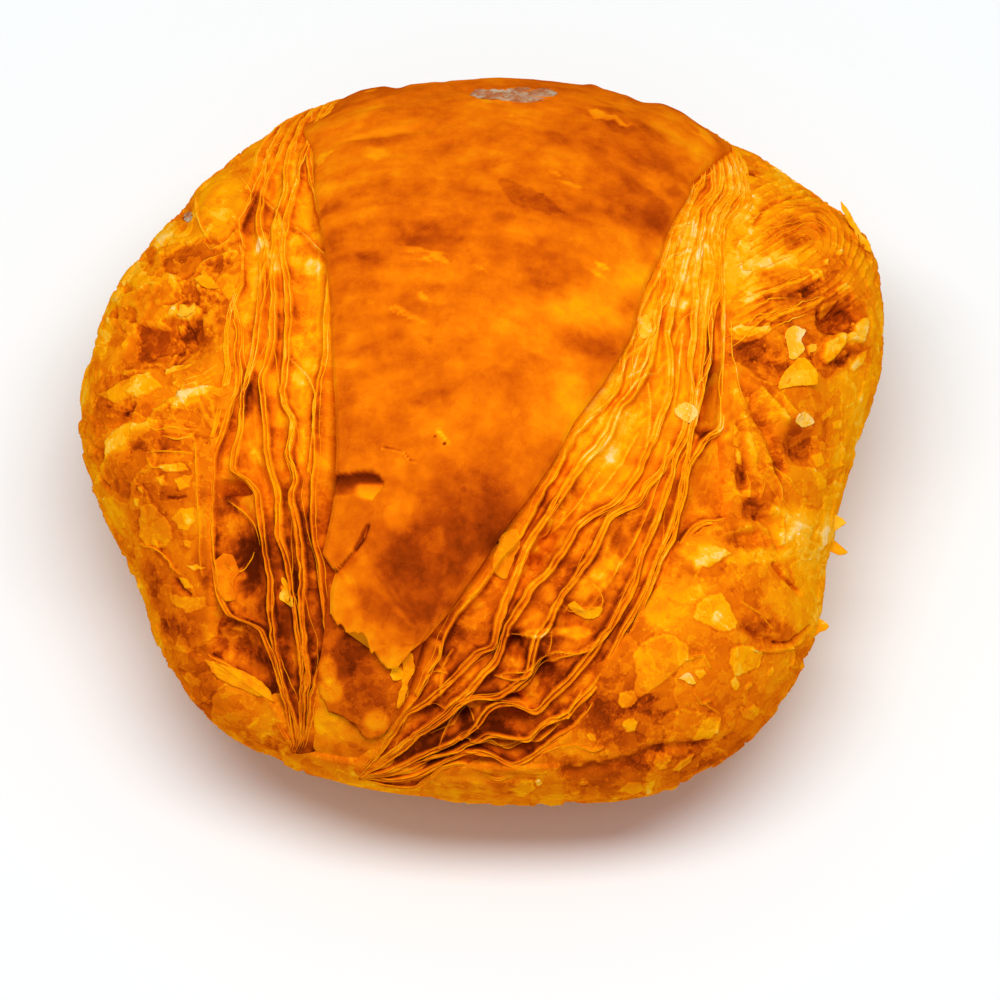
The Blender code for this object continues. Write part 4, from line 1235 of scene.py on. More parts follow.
# %% Marks, torn places and the coil of the ends
# Centre, radii, angle in degrees, and how much darker (above 0) or paler. The darker marks over the left
# hollow and the right hole are partly painted shade.
END_MARKS = photo_rows("""
    170,345 38,22 5 .13; 190,335 14,16 0 .04; 140,360 16,10 0 .1; 130,328 22,6 0 .08; 200,325 8,20 0 .02;
    150,297 16,9 15 .08; 200,260 26,14 10 .05; 222,200 28,22 0 -.13; 160,245 44,9 20 -.08;
    200,395 26,12 20 -.1; 120,390 26,10 15 -.04; 135,440 22,9 35 -.14; 100,378 14,20 0 .12;
    114,414 14,9 0 .12; 100,450 14,10 0 .1; 140,410 20,8 15 .08; 170,444 32,11 0 .1; 188,498 24,12 0 .09;
    150,480 26,40 0 .09; 160,560 50,90 20 .1; 205,560 10,24 0 .18; 182,625 22,13 0 .12;
    185,595 30,60 0 .06; 86,390 8,90 0 -.04; 120,520 8,44 30 -.1; 150,612 7,44 25 -.14;
    215,700 50,44 -35 .12; 250,738 50,12 -25 .02; 187,217 5,5 0 .34; 740,240 22,80 0 -.15;
    740,240 8,6 0 .1; 768,262 26,8 18 -.16; 800,255 26,8 25 -.1; 757,215 5,14 -35 .12; 858,238 4,20 25 .2;
    846,235 3,16 25 .1; 822,228 5,12 35 .1; 805,209 26,3 -6 .14; 735,172 8,4 0 .1; 753,170 8,3 0 .16;
    720,195 12,24 -20 -.08; 742,250 5,8 0 -.22; 744,266 3,8 0 -.18; 765,263 6,6 0 -.18; 750,205 4,3 0 -.2;
    757,194 4,3 0 -.2; 752,228 2,5 0 -.2; 803,243 10,6 0 .1; 800,231 26,14 0 .1; 790,235 42,32 0 -.05;
    780,302 44,9 18 .07; 790,318 34,5 15 .06; 835,264 14,10 0 .14; 836,316 20,17 0 .06;
    857,308 9,18 0 .06; 872,300 7,60 0 -.08; 840,357 20,8 20 .2; 753,356 25,13 0 .13; 780,372 18,7 0 .16;
    800,400 26,10 0 .04; 800,442 18,17 0 .2; 780,452 10,20 0 .08; 741,474 7,15 0 .22; 753,508 15,14 0 .15;
    745,540 22,9 0 .2; 740,385 7,26 0 -.08; 757,395 22,7 -42 -.06; 808,540 36,34 0 -.2;
    758,556 38,6 5 -.12; 848,420 18,60 0 -.12; 820,480 24,30 0 -.04; 700,553 18,12 0 -.14;
    745,582 40,12 -5 .05; 762,626 32,11 -10 .13; 665,612 50,10 38 -.12; 600,700 40,26 20 .12;
    660,700 40,12 0 .08; 650,772 60,18 15 .08; 690,700 110,90 30 .11; 600,725 60,30 10 .05;
    800,600 16,30 0 -.06; 690,645 14,8 0 .08; 775,670 26,20 0 -.02; 560,785 60,8 0 .06
""")
# The coil of the right end: the layers run round a short arm, as round a paper clip
COIL_CENTRE_PX = (806, 241)
COIL_ARM_END_PX = (728, 282)
# Thickness of one layer of the coil, in mm
COIL_PITCH = 1.25
# Where its layers fade out: to the left and below, in pixels, and away from the arm, in mm
COIL_FADES_LEFT_PX = (728.0, 752.0)
COIL_FADES_BELOW_PX = (345.0, 318.0)
COIL_FADES_AWAY = (14.5, 11.5)
# Places of loose crumbs: centre, radii, angle, and strength
CRUMBLED = photo_rows("""
    172,330 62,46 8 .7; 852,342 28,20 0 .9; 835,285 24,40 20 .5; 745,530 26,20 0 .6
""")
# Sizes of the torn layers and how thick they are, in mm
TORN_LAYERS = ((9.0, 0.32), (4.5, 0.26), (2.4, 0.16))
# How torn the surface is: centre, radii, angle, and strength
TORN_AREAS = photo_rows("""
    160,290 80,60 30 .7; 160,430 70,70 0 .4; 760,360 60,50 0 .3; 770,480 70,90 0 .3;
    660,690 150,110 30 .15; 230,720 90,60 -30 .2
""")


print(len(END_MARKS), "marks on the ends")


# %% One relief for both ends and the back
def coil_relief(seen, points):
    """Layers round the arm of the coil: height, and browning with painted shade and highlight."""
    arm, _ = line_field(seen, (COIL_CENTRE_PX, COIL_ARM_END_PX))
    bent = arm + 1.5 * layered_noise(seen, 8.0, 280, 2) + 0.15 * layered_noise(seen, 2.0, 281, 2)
    turn = bent / COIL_PITCH
    within = turn - np.floor(turn)
    number = np.floor(turn)
    strength = 0.75 + 0.45 * grid_noise(on_line(number) + 0.3, 1.0, 283)
    strength = strength * (0.25 + 0.75 * smooth_step(-0.3, 0.3, layered_noise(points, 4.0, 284, 3)))
    leaf = within**1.6 - 0.9 * smooth_step(0.86, 1.0, within)
    x, y = to_photo(seen)
    mask = smooth_step(*COIL_FADES_LEFT_PX, x) * smooth_step(*COIL_FADES_BELOW_PX, y)
    mask = mask * smooth_step(*COIL_FADES_AWAY, arm)
    painted_groove_shade = smooth_step(0.75, 1.0, within) + smooth_step(0.25, 0.0, within)
    height = 0.8 * strength * (leaf - 0.4)
    # Painted shade in the grooves between the layers, a painted highlight on the rise of each layer
    browning_and_shade = strength * (0.17 * painted_groove_shade - 0.16 * smooth_step(0.45, 0.75, within) * (1.0 - painted_groove_shade))
    return height * mask, browning_and_shade * mask


def end_relief(seen, chart, points):
    """Height over the plain bun in mm, and browning with painted light, of the two ends and the back."""
    height = 0.8 * layered_noise(points, 16.0, 201, 1) + 0.35 * layered_noise(points, 6.0, 202, 2)
    height += 0.05 * layered_noise(points, 1.6, 203, 3)
    browning_and_shade = 0.47 + 0.12 * layered_noise(points, 9.0, 204, 3) + 0.05 * layered_noise(points, 2.2, 205, 3)
    # A little painted shade towards the bottom of the picture
    low = smooth_step(-15.0, -45.0, seen[..., 1])
    browning_and_shade += 0.02 * low + marks_at(seen, END_MARKS, 0.35)
    for shape_px, turned, rise in SWELLINGS:
        height += rise * smooth_step(1.3, 0.25, oval(seen, shape_px, turned))
    uneven = seen + 0.35 * noise_pair(seen, 1.8, 206, 3)
    for line, rise, width, darker in FOLDS:
        form = line_form(uneven, line, width)
        height += rise * form
        # Painted shade in the creases, a painted highlight on the ridges
        browning_and_shade += darker * form
    for line in EDGES_PX:
        form = line_form(uneven, line, 0.17)
        height += 0.40 * form
        browning_and_shade -= 0.17 * form
    away, side = line_field(uneven, TORN_LEDGE_PX)
    ledge = smooth_step(6.0, 0.0, away)
    height += np.where(side > 0, -1.1 * ledge, 0.8 * ledge)
    browning_and_shade -= 0.20 * smooth_step(1.8, 0.3, away) * (side < 0)
    torn = 0.30 + marks_at(seen, TORN_AREAS, 0.4)
    for layer, (size, rise) in enumerate(TORN_LAYERS):
        field = layered_noise(uneven, size, 210 + 5 * layer, 5)
        sheet = smooth_step(0.0, 0.04, field)
        height += rise * sheet * torn
        # A thin painted shadow lies just outside the edge of each torn layer
        edge = np.exp(-(((field - 0.03) / 0.025) ** 2)) - 0.5 * np.exp(-(((field + 0.03) / 0.03) ** 2))
        browning_and_shade += (0.07 - 0.13 * sheet - 0.13 * edge) * (0.15 + 0.85 * torn)
    ragged = uneven + 0.30 * noise_pair(seen, 0.9, 208, 3)
    for corners, rise, darker in FLAKES:
        field = patch_field(ragged, corners)
        flake = smooth_step(-0.06, 0.12, field)
        height += 0.35 * rise * flake
        browning_and_shade += 1.35 * darker * flake * (0.85 + 0.15 * smooth_step(0.6, 0.1, field))
        # A band of painted shade just outside the rim of each flake
        browning_and_shade += 0.05 * smooth_step(-0.5, -0.08, field) * (1.0 - flake)
    crumbled = np.zeros(seen.shape[:-1])
    for shape_px, turned, strength in CRUMBLED:
        crumbled = np.maximum(crumbled, strength * smooth_step(1.25, 0.7, oval(seen, shape_px, turned)))
    away, chance = cell_spots(seen + 0.5 * layered_noise(seen, 1.5, 230, 2)[..., None], 1.5, 231)
    clump = smooth_step(0.75, 0.3, away) * (0.3 + 0.7 * chance)
    height += crumbled * (0.30 * clump - 0.12)
    browning_and_shade += crumbled * (0.07 - 0.30 * clump * chance)
    away, chance = cell_spots(chart, 3.6, 234)
    bubble = smooth_step(1.0, 0.6, away / (0.2 + 0.7 * chance)) * (chance > 0.75)
    height += 0.20 * bubble
    # The blisters are painted paler: a painted highlight on each
    browning_and_shade -= 0.13 * bubble
    layers, tone = coil_relief(seen, points)
    return height + layers, browning_and_shade + tone


def body_surface(chart, lowered=0.0):
    """Points of the body in metres and their browning, paler near the outline as painted light."""
    seen, points, outward, facing = on_bun(chart)
    height, browning_and_shade = end_relief(seen, chart, points)
    rim = smooth_step(0.45, 0.1, np.abs(facing))
    jags = smooth_step(0.0, 0.18, layered_noise(points, 3.0, 271, 4)) - 0.4
    height = height * (0.5 + 0.5 * smooth_step(-0.1, 0.45, facing)) + 0.42 * jags * rim
    beside = smooth_step(-6.0, -0.5, inside_leaves(chart))
    height = height * (1.0 - 0.6 * beside) - 0.4 * beside
    # Paler near the outline: painted light, standing in for light that shines through the thin rim
    browning_and_shade -= 0.08 * smooth_step(0.40, 0.10, facing) * smooth_step(-0.3, 0.0, facing)
    behind = smooth_step(0.0, -0.5, facing)
    hidden = 0.50 - 0.20 * smooth_step(6.0, -10.0, points[..., 2])
    hidden += 0.10 * layered_noise(points, 10.0, 270, 4)
    browning_and_shade = browning_and_shade * (1.0 - behind) + hidden * behind
    height = height - sunk_below_leaves(chart) - lowered
    return at_rest(points + outward * height[..., None]), np.maximum(browning_and_shade, PALEST)


# %% The body and the skins of its ends
# Distances of the rows from the middle of the chart, in mm
END_RADII = np.concatenate([np.arange(26.0, 66.0, 0.21), np.arange(66.0, 104.0, 1.0)])
# Middle and half of the range of bearings that the skins of each end cover, in degrees
SKINNED = ((187.0, 79.0), (-9.0, 75.0))
SKIN_COLUMNS = 410


def make_body():
    """The whole roll as a ball of dough, lowered a little where a finer skin covers it."""
    ball = bmesh.new()
    bmesh.ops.create_icosphere(ball, subdivisions=7, radius=1.0)
    directions = np.array([tuple(vertex.co) for vertex in ball.verts])
    faces = [[vertex.index for vertex in face.verts] for face in ball.faces]
    ball.free()
    turn = np.arccos(np.clip(directions[:, 2], -1.0, 1.0))
    bearing = np.arctan2(directions[:, 1], directions[:, 0])
    radius = outline_reach(bearing) * turn / QUARTER_TURN
    degrees = np.degrees(bearing)
    between = np.minimum(radius - END_RADII[0], END_RADII[-1] - radius)
    covered = np.full(len(radius), FAR_OUTSIDE)
    for middle, half in SKINNED:
        off = np.abs((degrees - middle + 180.0) % 360.0 - 180.0)
        covered = np.maximum(covered, np.minimum(np.radians(half - off) * radius, between))
    points, browning_and_shade = body_surface(polar(radius, bearing), 0.7 * smooth_step(1.0, 5.0, covered))
    return finished_piece("body", points, faces, browning_and_shade, flaky_crust)


def make_end_skin(name, bearings_deg, lowered, radii):
    """A fine skin over part of an end, whose border dips into the body."""
    bearings = np.radians(np.linspace(*bearings_deg, SKIN_COLUMNS))[None, :]
    chart = polar(radii[:, None], bearings)
    rim = np.minimum(radii - radii[0], radii[-1] - radii)[:, None]
    side = radii[:, None] * np.minimum(bearings - bearings[:, :1], bearings[:, -1:] - bearings)
    dip = 2.5 * smooth_step(2.0, 0.0, np.minimum(rim, side))
    top, browning_and_shade = body_surface(chart, dip + lowered)
    rails, _ = body_surface(chart[:, [0, -1]], SKIN_DEPTH)
    rails[..., 2] = np.maximum(rails[..., 2], ABOVE_FLOOR)
    return closed_piece(name, top, rails, browning_and_shade, flaky_crust)


# Name, range of bearings in degrees, and how much deeper the skin lies in mm: two skins never share a place
END_PARTS = (
    ("left_end_top", (108.0, 186.5), 0.16),
    ("left_end_low", (175.5, 266.0), 0.0),
    ("right_end_top", (-12.5, 66.0), 0.16),
    ("right_end_low", (-84.0, -1.5), 0.0),
)
body = make_body()
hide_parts("croissant")
end_skins = [make_end_skin(*part, END_RADII) for part in END_PARTS]

# %% [markdown]
# ## Thin leaf edges as swept threads
# Seen from above, the edge of a baked leaf is a bright line only a quarter of a millimetre wide, and most
# edges show as two such lines side by side. A grid fine enough for that would be huge. So each edge is a
# path that is dropped on the surface, and one Geometry Nodes tree sweeps a small round section along all
# the paths. The paths are the leaf edges of the fans, links that run from one leaf to the next, and single
# edges read off the photograph.

# %% Drop paths on the surface
# The layers of the coil: distance from the arm in mm, where each starts and ends, as shares of its way round
COIL_LAYERS = (
    (1.1, 0.36, 0.74), (2.0, 0.40, 0.62), (2.7, 0.38, 0.80), (3.6, 0.40, 0.66), (4.4, 0.42, 0.78),
    (5.3, 0.41, 0.60), (6.0, 0.45, 0.80), (7.4, 0.43, 0.74), (8.4, 0.43, 0.64), (9.4, 0.45, 0.70),
)
# Fibres of dough that fan out from the coil to its lower left
COIL_FIBRES_PX = photo_lines("""
    733,302 760,292 790,281 812,270; 752,321 776,315 800,304 824,296; 731,346 745,335 760,322 780,309;
    728,322 745,312 768,301 790,297; 735,286 755,272 775,262 790,257; 735,268 750,258 770,248;
    740,241 757,235 775,227 792,223; 745,223 760,213 780,207 800,207; 756,300 772,290 788,286;
    770,330 788,322 806,314; 776,258 786,250 798,250; 742,330 756,318 775,313
""")
# Steps of the points along a thread, in mm
THREAD_STEP = 0.3
# The share of its half thickness that a thread sinks into the surface
THREAD_SINK = 0.6
# Rays are cast towards the bun from this far out, in mm, and as far through it
SKY = 20.0


def surface_trees(pieces):
    """One ray-casting tree for each piece."""
    depsgraph = bpy.context.evaluated_depsgraph_get()
    return [BVHTree.FromObject(piece, depsgraph) for piece in pieces]


def nearest_hit(start, run, trees):
    """How far a ray goes before it meets the surface, or None."""
    hits = [tree.ray_cast(Vector(start), run)[3] for tree in trees]
    return min((hit for hit in hits if hit is not None), default=None)


def height_of_surface(chart, trees):
    """How high the surface stands over the plain bun at chart places, in mm."""
    _, points, outward, _ = on_bun(chart)
    above = at_rest(points + outward * SKY)
    below = at_rest(points - outward * SKY)
    heights = np.full(len(chart), np.nan)
    for number, (start, end) in enumerate(zip(above, below)):
        run = Vector(end - start)
        hit = nearest_hit(start, run, trees)
        if hit is not None:
            heights[number] = SKY - 2.0 * SKY * hit / run.length
    known = np.isfinite(heights)
    if not known.any():
        return np.zeros(len(chart))
    numbers = np.arange(len(chart))
    return np.interp(numbers, numbers[known], heights[known])


def even_steps(path, step):
    """A path with its points at even steps, and how far they are from its start."""
    along = run_length(path)
    at = np.linspace(0.0, along[-1], max(int(along[-1] / step), 3) + 1)
    sides = [curve_through(np.stack([along, path[:, axis]], axis=-1).tolist(), at) for axis in (0, 1)]
    return np.stack(sides, axis=-1), at


def thread_on(path, trees, thickness, tone, seed, wobble):
    """One thread: its points in metres, its half thickness in metres and its browning, with painted shade."""
    path, at = even_steps(path, THREAD_STEP)
    line = on_line(at)
    path = path + wobble * noise_pair(line, 1.6, seed, 2)
    heights = smoothed(height_of_surface(path, trees))
    ends = np.minimum(np.minimum(at, at[-1] - at) / 1.5, 1.0)
    uneven = np.clip(0.80 + 0.75 * layered_noise(line, 3.5, seed + 2, 3), 0.30, 1.35)
    half = thickness * (0.25 + 0.75 * ends) * uneven
    seen, points, outward, _ = on_bun(path)
    rest = at_rest(points + outward * (heights + half * (1.0 - THREAD_SINK))[:, None])
    # Threads are darker towards the bottom of the picture: painted shade
    low = smooth_step(12.0, -28.0, seen[..., 1])
    browning_and_shade = tone + 0.20 * low + 0.10 * layered_noise(line, 3.0, seed + 3, 3)
    return rest, half * MM, browning_and_shade


def coil_layer(distance, first, last):
    """A path round the arm of the coil, on the chart: along its lower side, round its end, and back above."""
    end = from_photo(COIL_CENTRE_PX)
    start = from_photo(COIL_ARM_END_PX)
    along = (end - start) / np.hypot(*(end - start))
    below = np.array([along[1], -along[0]])
    turns = np.linspace(0.0, math.pi, 14)[:, None]
    round_end = end + distance * (np.cos(turns) * below + np.sin(turns) * along)
    path = np.concatenate([[start + distance * below], round_end, [start - distance * below]])
    return chart_of(path_at(path, np.linspace(first, last, 24))[0])


# Links between two leaves: how many, over which length from the hub, and how wide a gap they cross, in mm
LINKS_EACH = 8
LINKED_LENGTH = 92.0
WIDEST_LINK = 3.4
# Each edge of a fan is double: its threads lie this far to both sides, in mm
SPLIT = 0.28


def fan_threads(name, trees, seed):
    """Double threads on every leaf edge of a fan, and links from leaf to leaf."""
    hub, radii, edges = LEAF_EDGES[name]
    chance = np.random.default_rng(seed)
    rows = (radii > 2.5) & (radii < radii[-1] - 12.0)
    threads = []
    for number, bearing in enumerate(edges):
        for side in (-SPLIT, SPLIT):
            spread = side + 0.20 * layered_noise(on_line(radii), 5.0, seed + 10 * number + (side > 0), 2)
            last = radii[-1] * (0.40 + 0.30 * chance.random())
            path = around_hub(hub, radii, (bearing + spread / radii)[:, None])[rows & (radii < last), 0]
            threads.append(thread_on(path, trees, 0.13, 0.25, seed + 7 * number + (side > 0), 0.16))
    for number in range(len(edges) - 1):
        for link in range(LINKS_EACH):
            first = 4.0 + LINKED_LENGTH * (link + chance.random()) / LINKS_EACH
            length = 7.0 + 16.0 * chance.random()
            at = radii[(radii > first) & (radii < first + length)]
            if len(at) < 8:
                continue
            share = smooth_step(0.0, 1.0, (at - first) / length) * (0.6 + 0.4 * chance.random())
            if chance.random() < 0.5:
                share = 1.0 - share
            both = [np.interp(at, radii, edges[number + step]) for step in (0, 1)]
            if np.max(np.abs(both[1] - both[0]) * at) > WIDEST_LINK:
                continue
            bearing = both[0] + (both[1] - both[0]) * share
            path = around_hub(hub, at, bearing[:, None])[:, 0]
            thin = 0.09 + 0.04 * chance.random()
            threads.append(thread_on(path, trees, thin, 0.24, seed + 1000 + 20 * number + link, 0.1))
    return threads


# %% Threads on the fans and the ends
fan_trees = surface_trees([left_fan, right_fan, top_crust, second_turn, third_turn] + end_skins)
threads = fan_threads("left_fan_of_leaves", fan_trees[:1], 5)
threads += fan_threads("right_fan_of_leaves", fan_trees[1:2], 6)
# The other paths: half thickness in mm, browning, seed, and how far they wobble, in mm
path_groups = (
    ([chart_of(from_photo(line)) for line in BRANCHES_PX], 0.12, 0.18, 3000, 0.12),
    ([chart_of(from_photo(line)) for line in EDGES_PX], 0.11, 0.22, 4000, 0.12),
    ([coil_layer(*layer) for layer in COIL_LAYERS], 0.12, 0.38, 4500, 0.22),
    ([chart_of(from_photo(line)) for line in COIL_FIBRES_PX], 0.14, 0.28, 4600, 0.30),
)
for paths, thickness, tone, seed, wobble in path_groups:
    for number, path in enumerate(paths):
        threads.append(thread_on(path, fan_trees, thickness, tone, seed + 5 * number, wobble))
print(len(threads), "threads")


# %% Sweep the threads with Geometry Nodes
def sweep_tree():
    """Turns chains of edges into round threads, as thick as their half_thickness attribute says."""
    tree = bpy.data.node_groups.new("sweep_of_leaf_edges", "GeometryNodeTree")
    for name, kind in (("Paths", "Geometry"), ("Sides", "Int"), ("Dough", "Material")):
        tree.interface.new_socket(name, in_out="INPUT", socket_type="NodeSocket" + kind)
    tree.interface.new_socket("Threads", in_out="OUTPUT", socket_type="NodeSocketGeometry")
    given = tree.nodes.new("NodeGroupInput")
    result = tree.nodes.new("NodeGroupOutput")
    curves = add_node(tree, "GeometryNodeMeshToCurve", links={"Mesh": given.outputs["Paths"]})
    inputs = {"Name": "half_thickness"}
    half = add_node(tree, "GeometryNodeInputNamedAttribute", {"data_type": "FLOAT"}, inputs)
    links = {"Resolution": given.outputs["Sides"]}
    section = add_node(tree, "GeometryNodeCurvePrimitiveCircle", inputs={"Radius": 1.0}, links=links)
    links = {"Curve": curves.outputs["Curve"], "Profile Curve": section.outputs["Curve"]}
    links["Scale"] = half.outputs["Attribute"]
    sweep = add_node(tree, "GeometryNodeCurveToMesh", inputs={"Fill Caps": True}, links=links)
    real = add_node(tree, "GeometryNodeRealizeInstances", links={"Geometry": sweep.outputs["Mesh"]})
    links = {"Geometry": real.outputs["Geometry"], "Material": given.outputs["Dough"]}
    dressed = add_node(tree, "GeometryNodeSetMaterial", links=links)
    tree.links.new(dressed.outputs["Geometry"], result.inputs["Threads"])
    return tree


def swept_threads(name, threads, sides, material):
    """One piece with a thread along each path."""
    points = np.concatenate([thread[0] for thread in threads])
    lengths = [len(thread[0]) for thread in threads]
    starts = np.append(0, np.cumsum(lengths))[:-1]
    steps = [(start + k, start + k + 1) for start, length in zip(starts, lengths) for k in range(length - 1)]
    paths = bpy.data.meshes.new(name + "_paths")
    paths.from_pydata(points, steps, [])
    for attribute, column in (("half_thickness", 1), ("browning_and_shade", 2)):
        layer = paths.attributes.new(attribute, "FLOAT", "POINT")
        values = np.concatenate([thread[column] for thread in threads])
        layer.data.foreach_set("value", values.astype(np.float32))
    holder = bpy.data.objects.new(name + "_paths", paths)
    bpy.context.scene.collection.objects.link(holder)
    modifier = holder.modifiers.new("sweep", "NODES")
    modifier.node_group = SWEEP
    given = [item for item in SWEEP.interface.items_tree if item.in_out == "INPUT"]
    identifiers = {item.name: item.identifier for item in given}
    modifier[identifiers["Sides"]] = sides
    modifier[identifiers["Dough"]] = material
    depsgraph = bpy.context.evaluated_depsgraph_get()
    mesh = bpy.data.meshes.new_from_object(holder.evaluated_get(depsgraph), depsgraph=depsgraph)
    bpy.data.objects.remove(holder)
    mesh.name = name
    return riding_piece(name, mesh)


SWEEP = sweep_tree()
THREAD_SIDES = 5
swept_threads("leaf_edge_threads", threads, THREAD_SIDES, laminated_leaf)

# %% [markdown]
# ## Scraps of leaf
# Thin scraps of baked leaf lie on the croissant or stick out over its rim. Each one is a small closed
# plate: rings of points round its middle, laid on the surface along the line of sight, with a ragged,
# slightly lifted rim. The real ones are as thin as paper, so these plates are made as thin as they can be
# and still be closed.

# %% Scraps
# Corners, lift of the rim in mm, browning, and how deep they follow the surface in mm
SCRAPS = photo_rows("""
    783,338 785,330 792,327 803,331 800,340 803,350 796,358 790,361 785,348 .3 .12 3;
    776,391 778,380 787,368 793,361 803,359 812,366 816,372 815,385 800,386 788,388 .5 .25 3;
    803,412 812,424 803,428 794,422 797,415 .3 .12 3;
    673,414 678,405 685,403 692,407 696,412 694,420 687,424 680,420 .3 .16 3;
    806,346 812,344 814,351 808,354 .2 .14 3; 676,677 683,671 690,674 694,681 688,682 682,679 .4 .14 3;
    195,279 203,276 218,284 220,290 211,289 203,286 .3 .28 3;
    178,315 182,305 190,308 196,304 195,313 186,318 .2 .24 3;
    391,672 397,664 404,670 402,677 395,677 .4 .34 3;
    403,657 411,651 415,662 411,680 405,702 399,706 401,688 404,672 .4 .36 3;
    208,657 222,662 240,668 258,675 268,684 277,700 262,694 245,688 228,680 214,670 .3 .38 4;
    217,560 226,553 236,556 241,570 236,584 240,598 229,600 220,590 .2 .52 3;
    284,575 290,580 293,595 296,606 288,602 281,592 285,588 .3 .2 3;
    500,534 516,530 520,540 513,560 503,578 495,572 .2 .4 3;
    638,318 646,317 650,326 648,336 642,341 637,330 .2 .2 3;
    735,248 741,241 748,244 749,254 746,262 749,272 743,273 740,262 .2 .22 3;
    568,604 573,600 580,605 586,609 594,605 601,608 596,615 584,617 574,612 .2 .28 3
""")
# Flakes of the outermost leaf that stand out over the rim: corners, browning, depth that they follow, and how
# high they lie over the surface, both in mm. The wide ones come out from under it.
RIM_FLAKES = photo_rows("""
    842,201 848,208 853,218 860,230 868,240 871,252 862,247 856,235 848,220 843,208 .26 .8 .15;
    818,508 831,511 840,519 846,523 839,527 834,531 832,540 839,546 846,553 838,555 829,552 826,560
    814,556 812,530 .22 7 -1.3;
    798,612 810,607 815,615 828,627 820,632 812,636 806,642 796,634 .24 7 -1
""")
# Points round a scrap, shares of the way from its middle to its rim, thickness and height above, in mm
SCRAP_ROUND = 56
SCRAP_RINGS = (0.0, 0.35, 0.65, 0.88, 1.0)
SCRAP_THICKNESS = 0.22
SCRAP_ABOVE = 0.15
# Rays along the line of sight start this near to the camera, in mm
NEAR_CAMERA = 120.0


def along_view(seen, near):
    """Places in the picture and how near to the camera they are, in mm, as points in metres at rest."""
    across, up = seen[..., 0], seen[..., 1]
    depth = up * SIN_LOOK - near * COS_LOOK
    height = up * COS_LOOK + near * SIN_LOOK + BUN_HALF_HEIGHT - FLATTENED
    return np.stack([across - ORIGIN_ACROSS, depth, height], axis=-1) * MM


def nearness_of_surface(seen, trees):
    """How near to the camera the surface is at places in the picture, in mm, nan where there is none."""
    starts = along_view(seen, np.full(len(seen), NEAR_CAMERA))
    run = Vector((0.0, COS_LOOK, -SIN_LOOK))
    near = np.full(len(seen), np.nan)
    for number, start in enumerate(starts):
        hit = nearest_hit(start, run, trees)
        if hit is not None:
            near[number] = NEAR_CAMERA - hit / MM
    return near


def make_scrap(name, corners_px, lift, tone, follow, seed, material, above=SCRAP_ABOVE):
    """A thin closed plate on the surface, with its corners where the photograph shows them."""
    corners = from_photo(corners_px)
    closed = np.concatenate([corners, corners[:1]])
    rim, _ = even_steps(closed, np.hypot(*np.diff(closed, axis=0).T).sum() / SCRAP_ROUND * 0.999)
    rim = rim[:SCRAP_ROUND]
    rim = rim + 0.34 * noise_pair(rim, 1.0, seed, 3)
    middle = rim.mean(axis=0)
    rings = np.array([middle + (rim - middle) * max(share, 0.02) for share in SCRAP_RINGS])
    near = nearness_of_surface(rings.reshape(-1, 2), fan_trees)
    nearest = np.nanpercentile(near, 90)
    near = np.where(np.isfinite(near), near, nearest - follow)
    near = np.clip(near, nearest - follow, nearest + 1.0).reshape(rings.shape[:2])
    for _ in range(4):
        near = 0.5 * near + 0.25 * (np.roll(near, 1, axis=1) + np.roll(near, -1, axis=1))
    shares = np.array(SCRAP_RINGS)[:, None]
    top = near + above + lift * shares**2 * (0.6 + 0.8 * layered_noise(rings, 3.0, seed + 2, 2))
    points = np.concatenate([along_view(rings, top), along_view(rings, top - SCRAP_THICKNESS)[::-1]])
    count = SCRAP_ROUND
    around = np.arange(count)
    after = (around + 1) % count
    faces = []
    for ring in range(len(points) - 1):
        quads = np.stack([around, after, after + count, around + count], axis=-1) + ring * count
        faces += quads[:, ::-1].tolist()
    faces.append(around.tolist())
    faces.append((around[::-1] + (len(points) - 1) * count).tolist())
    points = points.reshape(-1, 3)
    browning_and_shade = np.tile((tone + 0.08 * layered_noise(rings, 1.5, seed + 3, 3)).ravel(), 2)
    piece = finished_piece(name, points, faces, browning_and_shade, material)
    shape = bmesh.new()
    shape.from_mesh(piece.data)
    bmesh.ops.recalc_face_normals(shape, faces=shape.faces)
    shape.to_mesh(piece.data)
    shape.free()
    return piece


# Blisters of scorched egg wash, with a painted sheen: corners, lift, browning and depth, as for the scraps
SCORCHED_AND_SHEEN = photo_rows("""
    468,96 474,90 490,88 506,89 520,86 532,88 545,88 557,93 552,98 538,101 524,104 508,101 490,99 0 .42
    20;
    184,214 188,212 192,214 192,219 188,222 184,219 0 .4 8
""")
for number, (corners_px, lift, tone, follow) in enumerate(SCRAPS):
    make_scrap(f"scrap_{number + 1}", corners_px, lift, tone, follow, 5000 + 7 * number, laminated_leaf)
for number, (corners_px, tone, follow, above) in enumerate(RIM_FLAKES):
    name = f"rim_flake_{number + 1}"
    make_scrap(name, corners_px, 0.0, tone, follow, 5500 + 7 * number, flaky_crust, above)
for number, (corners_px, lift, tone, follow) in enumerate(SCORCHED_AND_SHEEN):
    name = f"scorched_blister_and_sheen_{number + 1}"
    make_scrap(name, corners_px, lift, tone, follow, 6000 + 7 * number, scorched_egg_wash_and_sheen)

# %% [markdown]
# ## Floor, light and camera
# A pale floor and soft light from above, as in a light tent: one soft box right above, and a bright world
# all round. The camera looks down at 62 degrees from far off, through a long lens, as the photograph does.

# %% Floor, light and camera
# Sizes in metres
FLOOR_SIDE = 3.0
CAMERA_DISTANCE = 3.0
FRAME_WIDTH = 1000 * PIXEL * MM
# The middle of the picture lies a little below and to the right of the middle of the outline
LOWER = 0.00928
LOOK_AT = Vector((0.0029, 0.0, 0.027)) - Vector((0.0, SIN_LOOK, COS_LOOK)) * LOWER
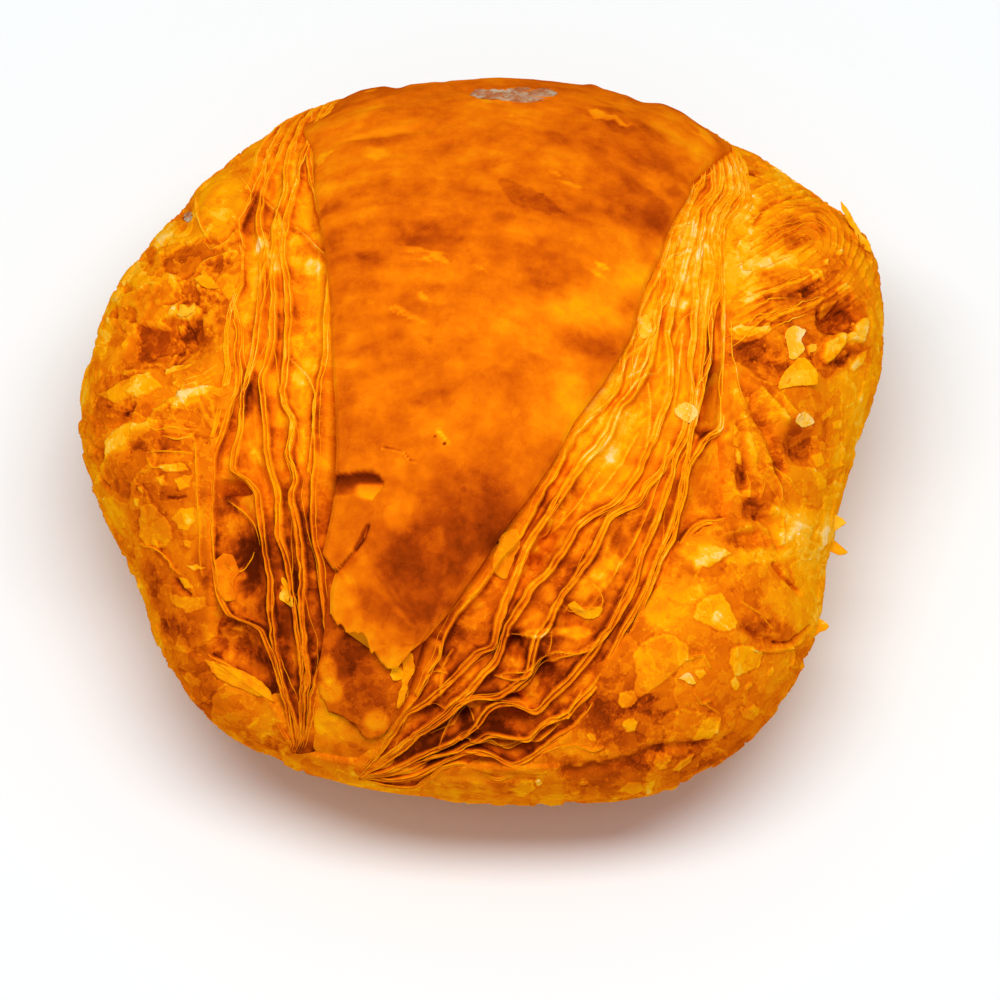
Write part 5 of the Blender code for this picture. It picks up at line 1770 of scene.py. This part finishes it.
# The soft box, place and two sides in metres, power in watts, and the brightness of the world round it
SOFT_BOX_PLACE = (0.0, -0.10, 1.05)
SOFT_BOX_SIDES = (1.1, 0.36)
SOFT_BOX_POWER = 9.4
WORLD_STRENGTH = 0.42
WHITE = (1.0, 1.0, 1.0, 1.0)


def make_floor():
    # Matt white card: smooth paper that scatters light evenly and shows no gloss
    material = bpy.data.materials.new("matt_white_card")
    material.use_nodes = True
    shader = material.node_tree.nodes["Principled BSDF"]
    shader.inputs["Base Color"].default_value = to_linear("ecf1f2")
    shader.inputs["Roughness"].default_value = 0.9
    mesh = bpy.data.meshes.new("floor")
    half = FLOOR_SIDE / 2
    corners = [(-half, -half, 0.0), (half, -half, 0.0), (half, half, 0.0), (-half, half, 0.0)]
    mesh.from_pydata(corners, [], [(0, 1, 2, 3)])
    mesh.materials.append(material)
    floor = bpy.data.objects.new("floor", mesh)
    bpy.context.scene.collection.objects.link(floor)


def make_soft_box():
    lamp = bpy.data.lights.new("soft_box", "AREA")
    lamp.shape = "ELLIPSE"
    lamp.size, lamp.size_y = SOFT_BOX_SIDES
    lamp.energy = SOFT_BOX_POWER
    lamp.color = WHITE[:3]
    holder = bpy.data.objects.new("soft_box", lamp)
    bpy.context.scene.collection.objects.link(holder)
    holder.location = SOFT_BOX_PLACE
    holder.rotation_euler = (-Vector(SOFT_BOX_PLACE)).to_track_quat("-Z", "Y").to_euler()


def make_camera():
    camera = bpy.data.cameras.new("camera")
    camera.sensor_width = 36.0
    camera.lens = camera.sensor_width * CAMERA_DISTANCE / FRAME_WIDTH
    camera.clip_end = 20.0
    holder = bpy.data.objects.new("camera", camera)
    bpy.context.scene.collection.objects.link(holder)
    holder.location = LOOK_AT + Vector((0.0, -COS_LOOK, SIN_LOOK)) * CAMERA_DISTANCE
    holder.rotation_euler = (math.pi / 2 - LOOK_DOWN, 0.0, 0.0)
    bpy.context.scene.camera = holder


make_floor()
make_soft_box()
make_camera()
world = bpy.data.worlds.new("light_tent")
bpy.context.scene.world = world
world.use_nodes = True
background = world.node_tree.nodes["Background"]
background.inputs["Color"].default_value = WHITE
background.inputs["Strength"].default_value = WORLD_STRENGTH
bpy.context.scene.view_settings.view_transform = "Standard"
